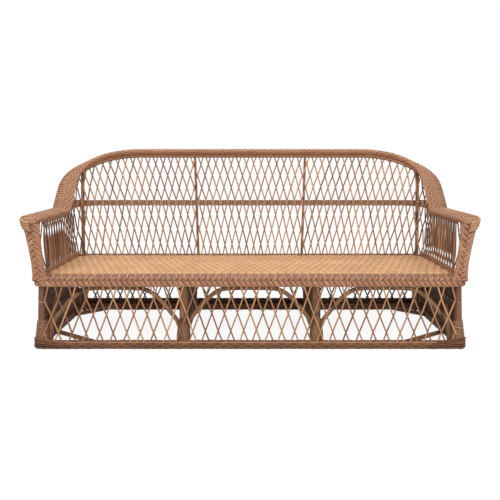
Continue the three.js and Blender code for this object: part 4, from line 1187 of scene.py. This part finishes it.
def make_border():
    table = oval_table(BORDER["wide"] / 2, BORDER["tall"] / 2, 5.0)
    strands = Strands(6)
    ribs = Strands(6)
    total = BORDER_LENGTH[-1]
    woven_oval(strands, ribs, border_frame, total, table, no_scale, count=19, rib_pitch=27.75, wide=8.0,
               thick=5.0, amp=1.2, inset=2.4, rib_wide=4.4, painted_shade_share=0.4, wobble=0.5)
    strands.make("floor_border_weave", BORDER_AND_SHADE_MAT, "border_core",
                 ["front_border", "rear_border", "side_border_left", "side_border_right"])
    ribs.make("floor_border_ribs", BORDER_AND_SHADE_MAT, "border_core")
    oval_core("floor_border_core", border_frame, total, table, 7.0, no_scale, 20.0, BORDER_AND_SHADE_MAT)
    edge = Strands(8)
    at = np.arange(0, total, 4.0)
    origin, across, _ = border_frame(at)
    for k in range(2):
        wave = np.cos(2 * math.pi * at / 55.5 + math.pi * k)
        side = across * (BORDER["wide"] / 2 - 3.5 + 1.5 * wave)[:, None]
        points = origin + side + UP * (BORDER["tall"] / 2 - 2.5 + 1.5 * wave)[:, None]
        # Painted shade where an edge strand swings down and in.
        edge.add(points, 5.6, 4.6, UP, 0.4 * np.clip(0.5 - 0.5 * wave, 0, 1), loop=True)
    edge.make("floor_border_edge", WOVEN, "woven_core")
    laps = Strands(8)
    for side in (-1, 1):
        for k in range(5):
            lap = [(928, 62.0, 22.0 - 3 * k), (936 - k, 34.0, 42.0 - 8.5 * k),
                   (939 - k, 10.0, 47.0 - 9 * k), (922 - k, -3.0, 47.0 - 9 * k),
                   (875 - 4 * k, -4.5, 41.0 - 8 * k), (815 - 8 * k, -1.0, 33.0 - 7 * k)]
            # Painted shade, deeper on the lower laps near the floor.
            laps.add(smooth_path(np.array(lap) * (side, 1, 1), 6), 9.0, 6.0, None, 0.1 + 0.12 * k)
    laps.make("floor_border_laps", BORDER_AND_SHADE_MAT, "border_core")


make_hoop()
make_walls()
make_band()
make_hoop_twining()
make_arm_base()
make_poles()
make_arches()
make_wraps()
make_skirts()
make_middle_frames()
make_deck()
make_arm_braids()
make_seat_braid()
make_border()


# Stage, light and camera

WHITE_GLOW = 0.90  # what the floor gives to the camera in full shadow
SHADOW_SHARE = 0.18  # colour of the part of the floor that the lamps light


def seen_share(tree):
    """One where the floor or the backdrop is seen: by the camera, in gloss or through glass."""
    path = add_node(tree, "LightPath", {})
    share = path.outputs["Is Camera Ray"]
    for name in ("Is Glossy Ray", "Is Transmission Ray"):
        both = {0: share, 1: path.outputs[name]}
        share = add_node(tree, "Math", both, operation="MAXIMUM").outputs[0]
    return share


def stage_material():
    material, tree = node_tree("pale_floor")
    lit = add_node(tree, "BsdfDiffuse", {"Color": (*[SHADOW_SHARE] * 3, 1)})
    bounce = add_node(tree, "BsdfDiffuse", {"Color": (0.34, 0.33, 0.32, 1)})
    white = add_node(tree, "Emission", {"Color": (1, 1, 1, 1), "Strength": WHITE_GLOW})
    both = add_node(tree, "AddShader", {0: lit.outputs[0], 1: white.outputs[0]})
    seen = add_node(tree, "MixShader", {0: seen_share(tree), 1: bounce.outputs[0], 2: both.outputs[0]})
    add_node(tree, "OutputMaterial", {0: seen.outputs[0]})
    return material


def make_stage():
    mesh = bpy.data.meshes.new("floor")
    reach = 14.0
    corners = [(-reach, -reach, 0), (reach, -reach, 0), (reach, reach, 0), (-reach, reach, 0)]
    mesh.from_pydata(corners, [], [(0, 1, 2, 3)])
    floor = bpy.data.objects.new("floor", mesh)
    floor.location.z = -0.0005
    bpy.context.scene.collection.objects.link(floor)
    mesh.materials.append(stage_material())


def make_world():
    world = bpy.data.worlds.new("studio")
    bpy.context.scene.world = world
    world.use_nodes = True
    tree = world.node_tree
    tree.nodes.clear()
    seen = add_node(tree, "Background", {"Color": (1, 1, 1, 1)})
    light = add_node(tree, "Background", {"Color": (0.98, 0.99, 1.0, 1), "Strength": 0.55})
    mix = add_node(tree, "MixShader", {0: seen_share(tree), 1: light.outputs[0], 2: seen.outputs[0]})
    add_node(tree, "OutputWorld", {0: mix.outputs[0]})


def area_light(name, place, target, size, power):
    data = bpy.data.lights.new(name, "AREA")
    data.size = size
    data.energy = power
    lamp = bpy.data.objects.new(name, data)
    bpy.context.scene.collection.objects.link(lamp)
    lamp.location = place
    direction = Vector(target) - Vector(place)
    lamp.rotation_euler = direction.to_track_quat("-Z", "Y").to_euler()


def make_lights():
    """Place, target and size are in metres, power is in watts."""
    area_light("key", (-1.6, -3.2, 3.4), (0, 0, 0.4), 2.2, 86)
    area_light("fill", (1.8, -4.2, 1.3), (0, 0, 0.5), 2.6, 78)
    area_light("top", (0, 0.4, 3.6), (0, 0, 0.3), 2.6, 38)


def make_camera():
    data = bpy.data.cameras.new("camera")
    data.sensor_width = 36.0
    data.lens = FOCAL_PX / PICTURE_PX * data.sensor_width
    data.shift_y = -HORIZON_ABOVE_MIDDLE / PICTURE_PX
    camera = bpy.data.objects.new("camera", data)
    camera.location = (0, -(CAMERA_BACK + CENTRE_Y) / 1000, CAMERA_HEIGHT / 1000)
    camera.rotation_euler = (math.pi / 2, 0, 0)
    bpy.context.scene.collection.objects.link(camera)
    bpy.context.scene.camera = camera


make_stage()
make_world()
make_lights()
make_camera()
bpy.context.scene.view_settings.view_transform = "Standard"
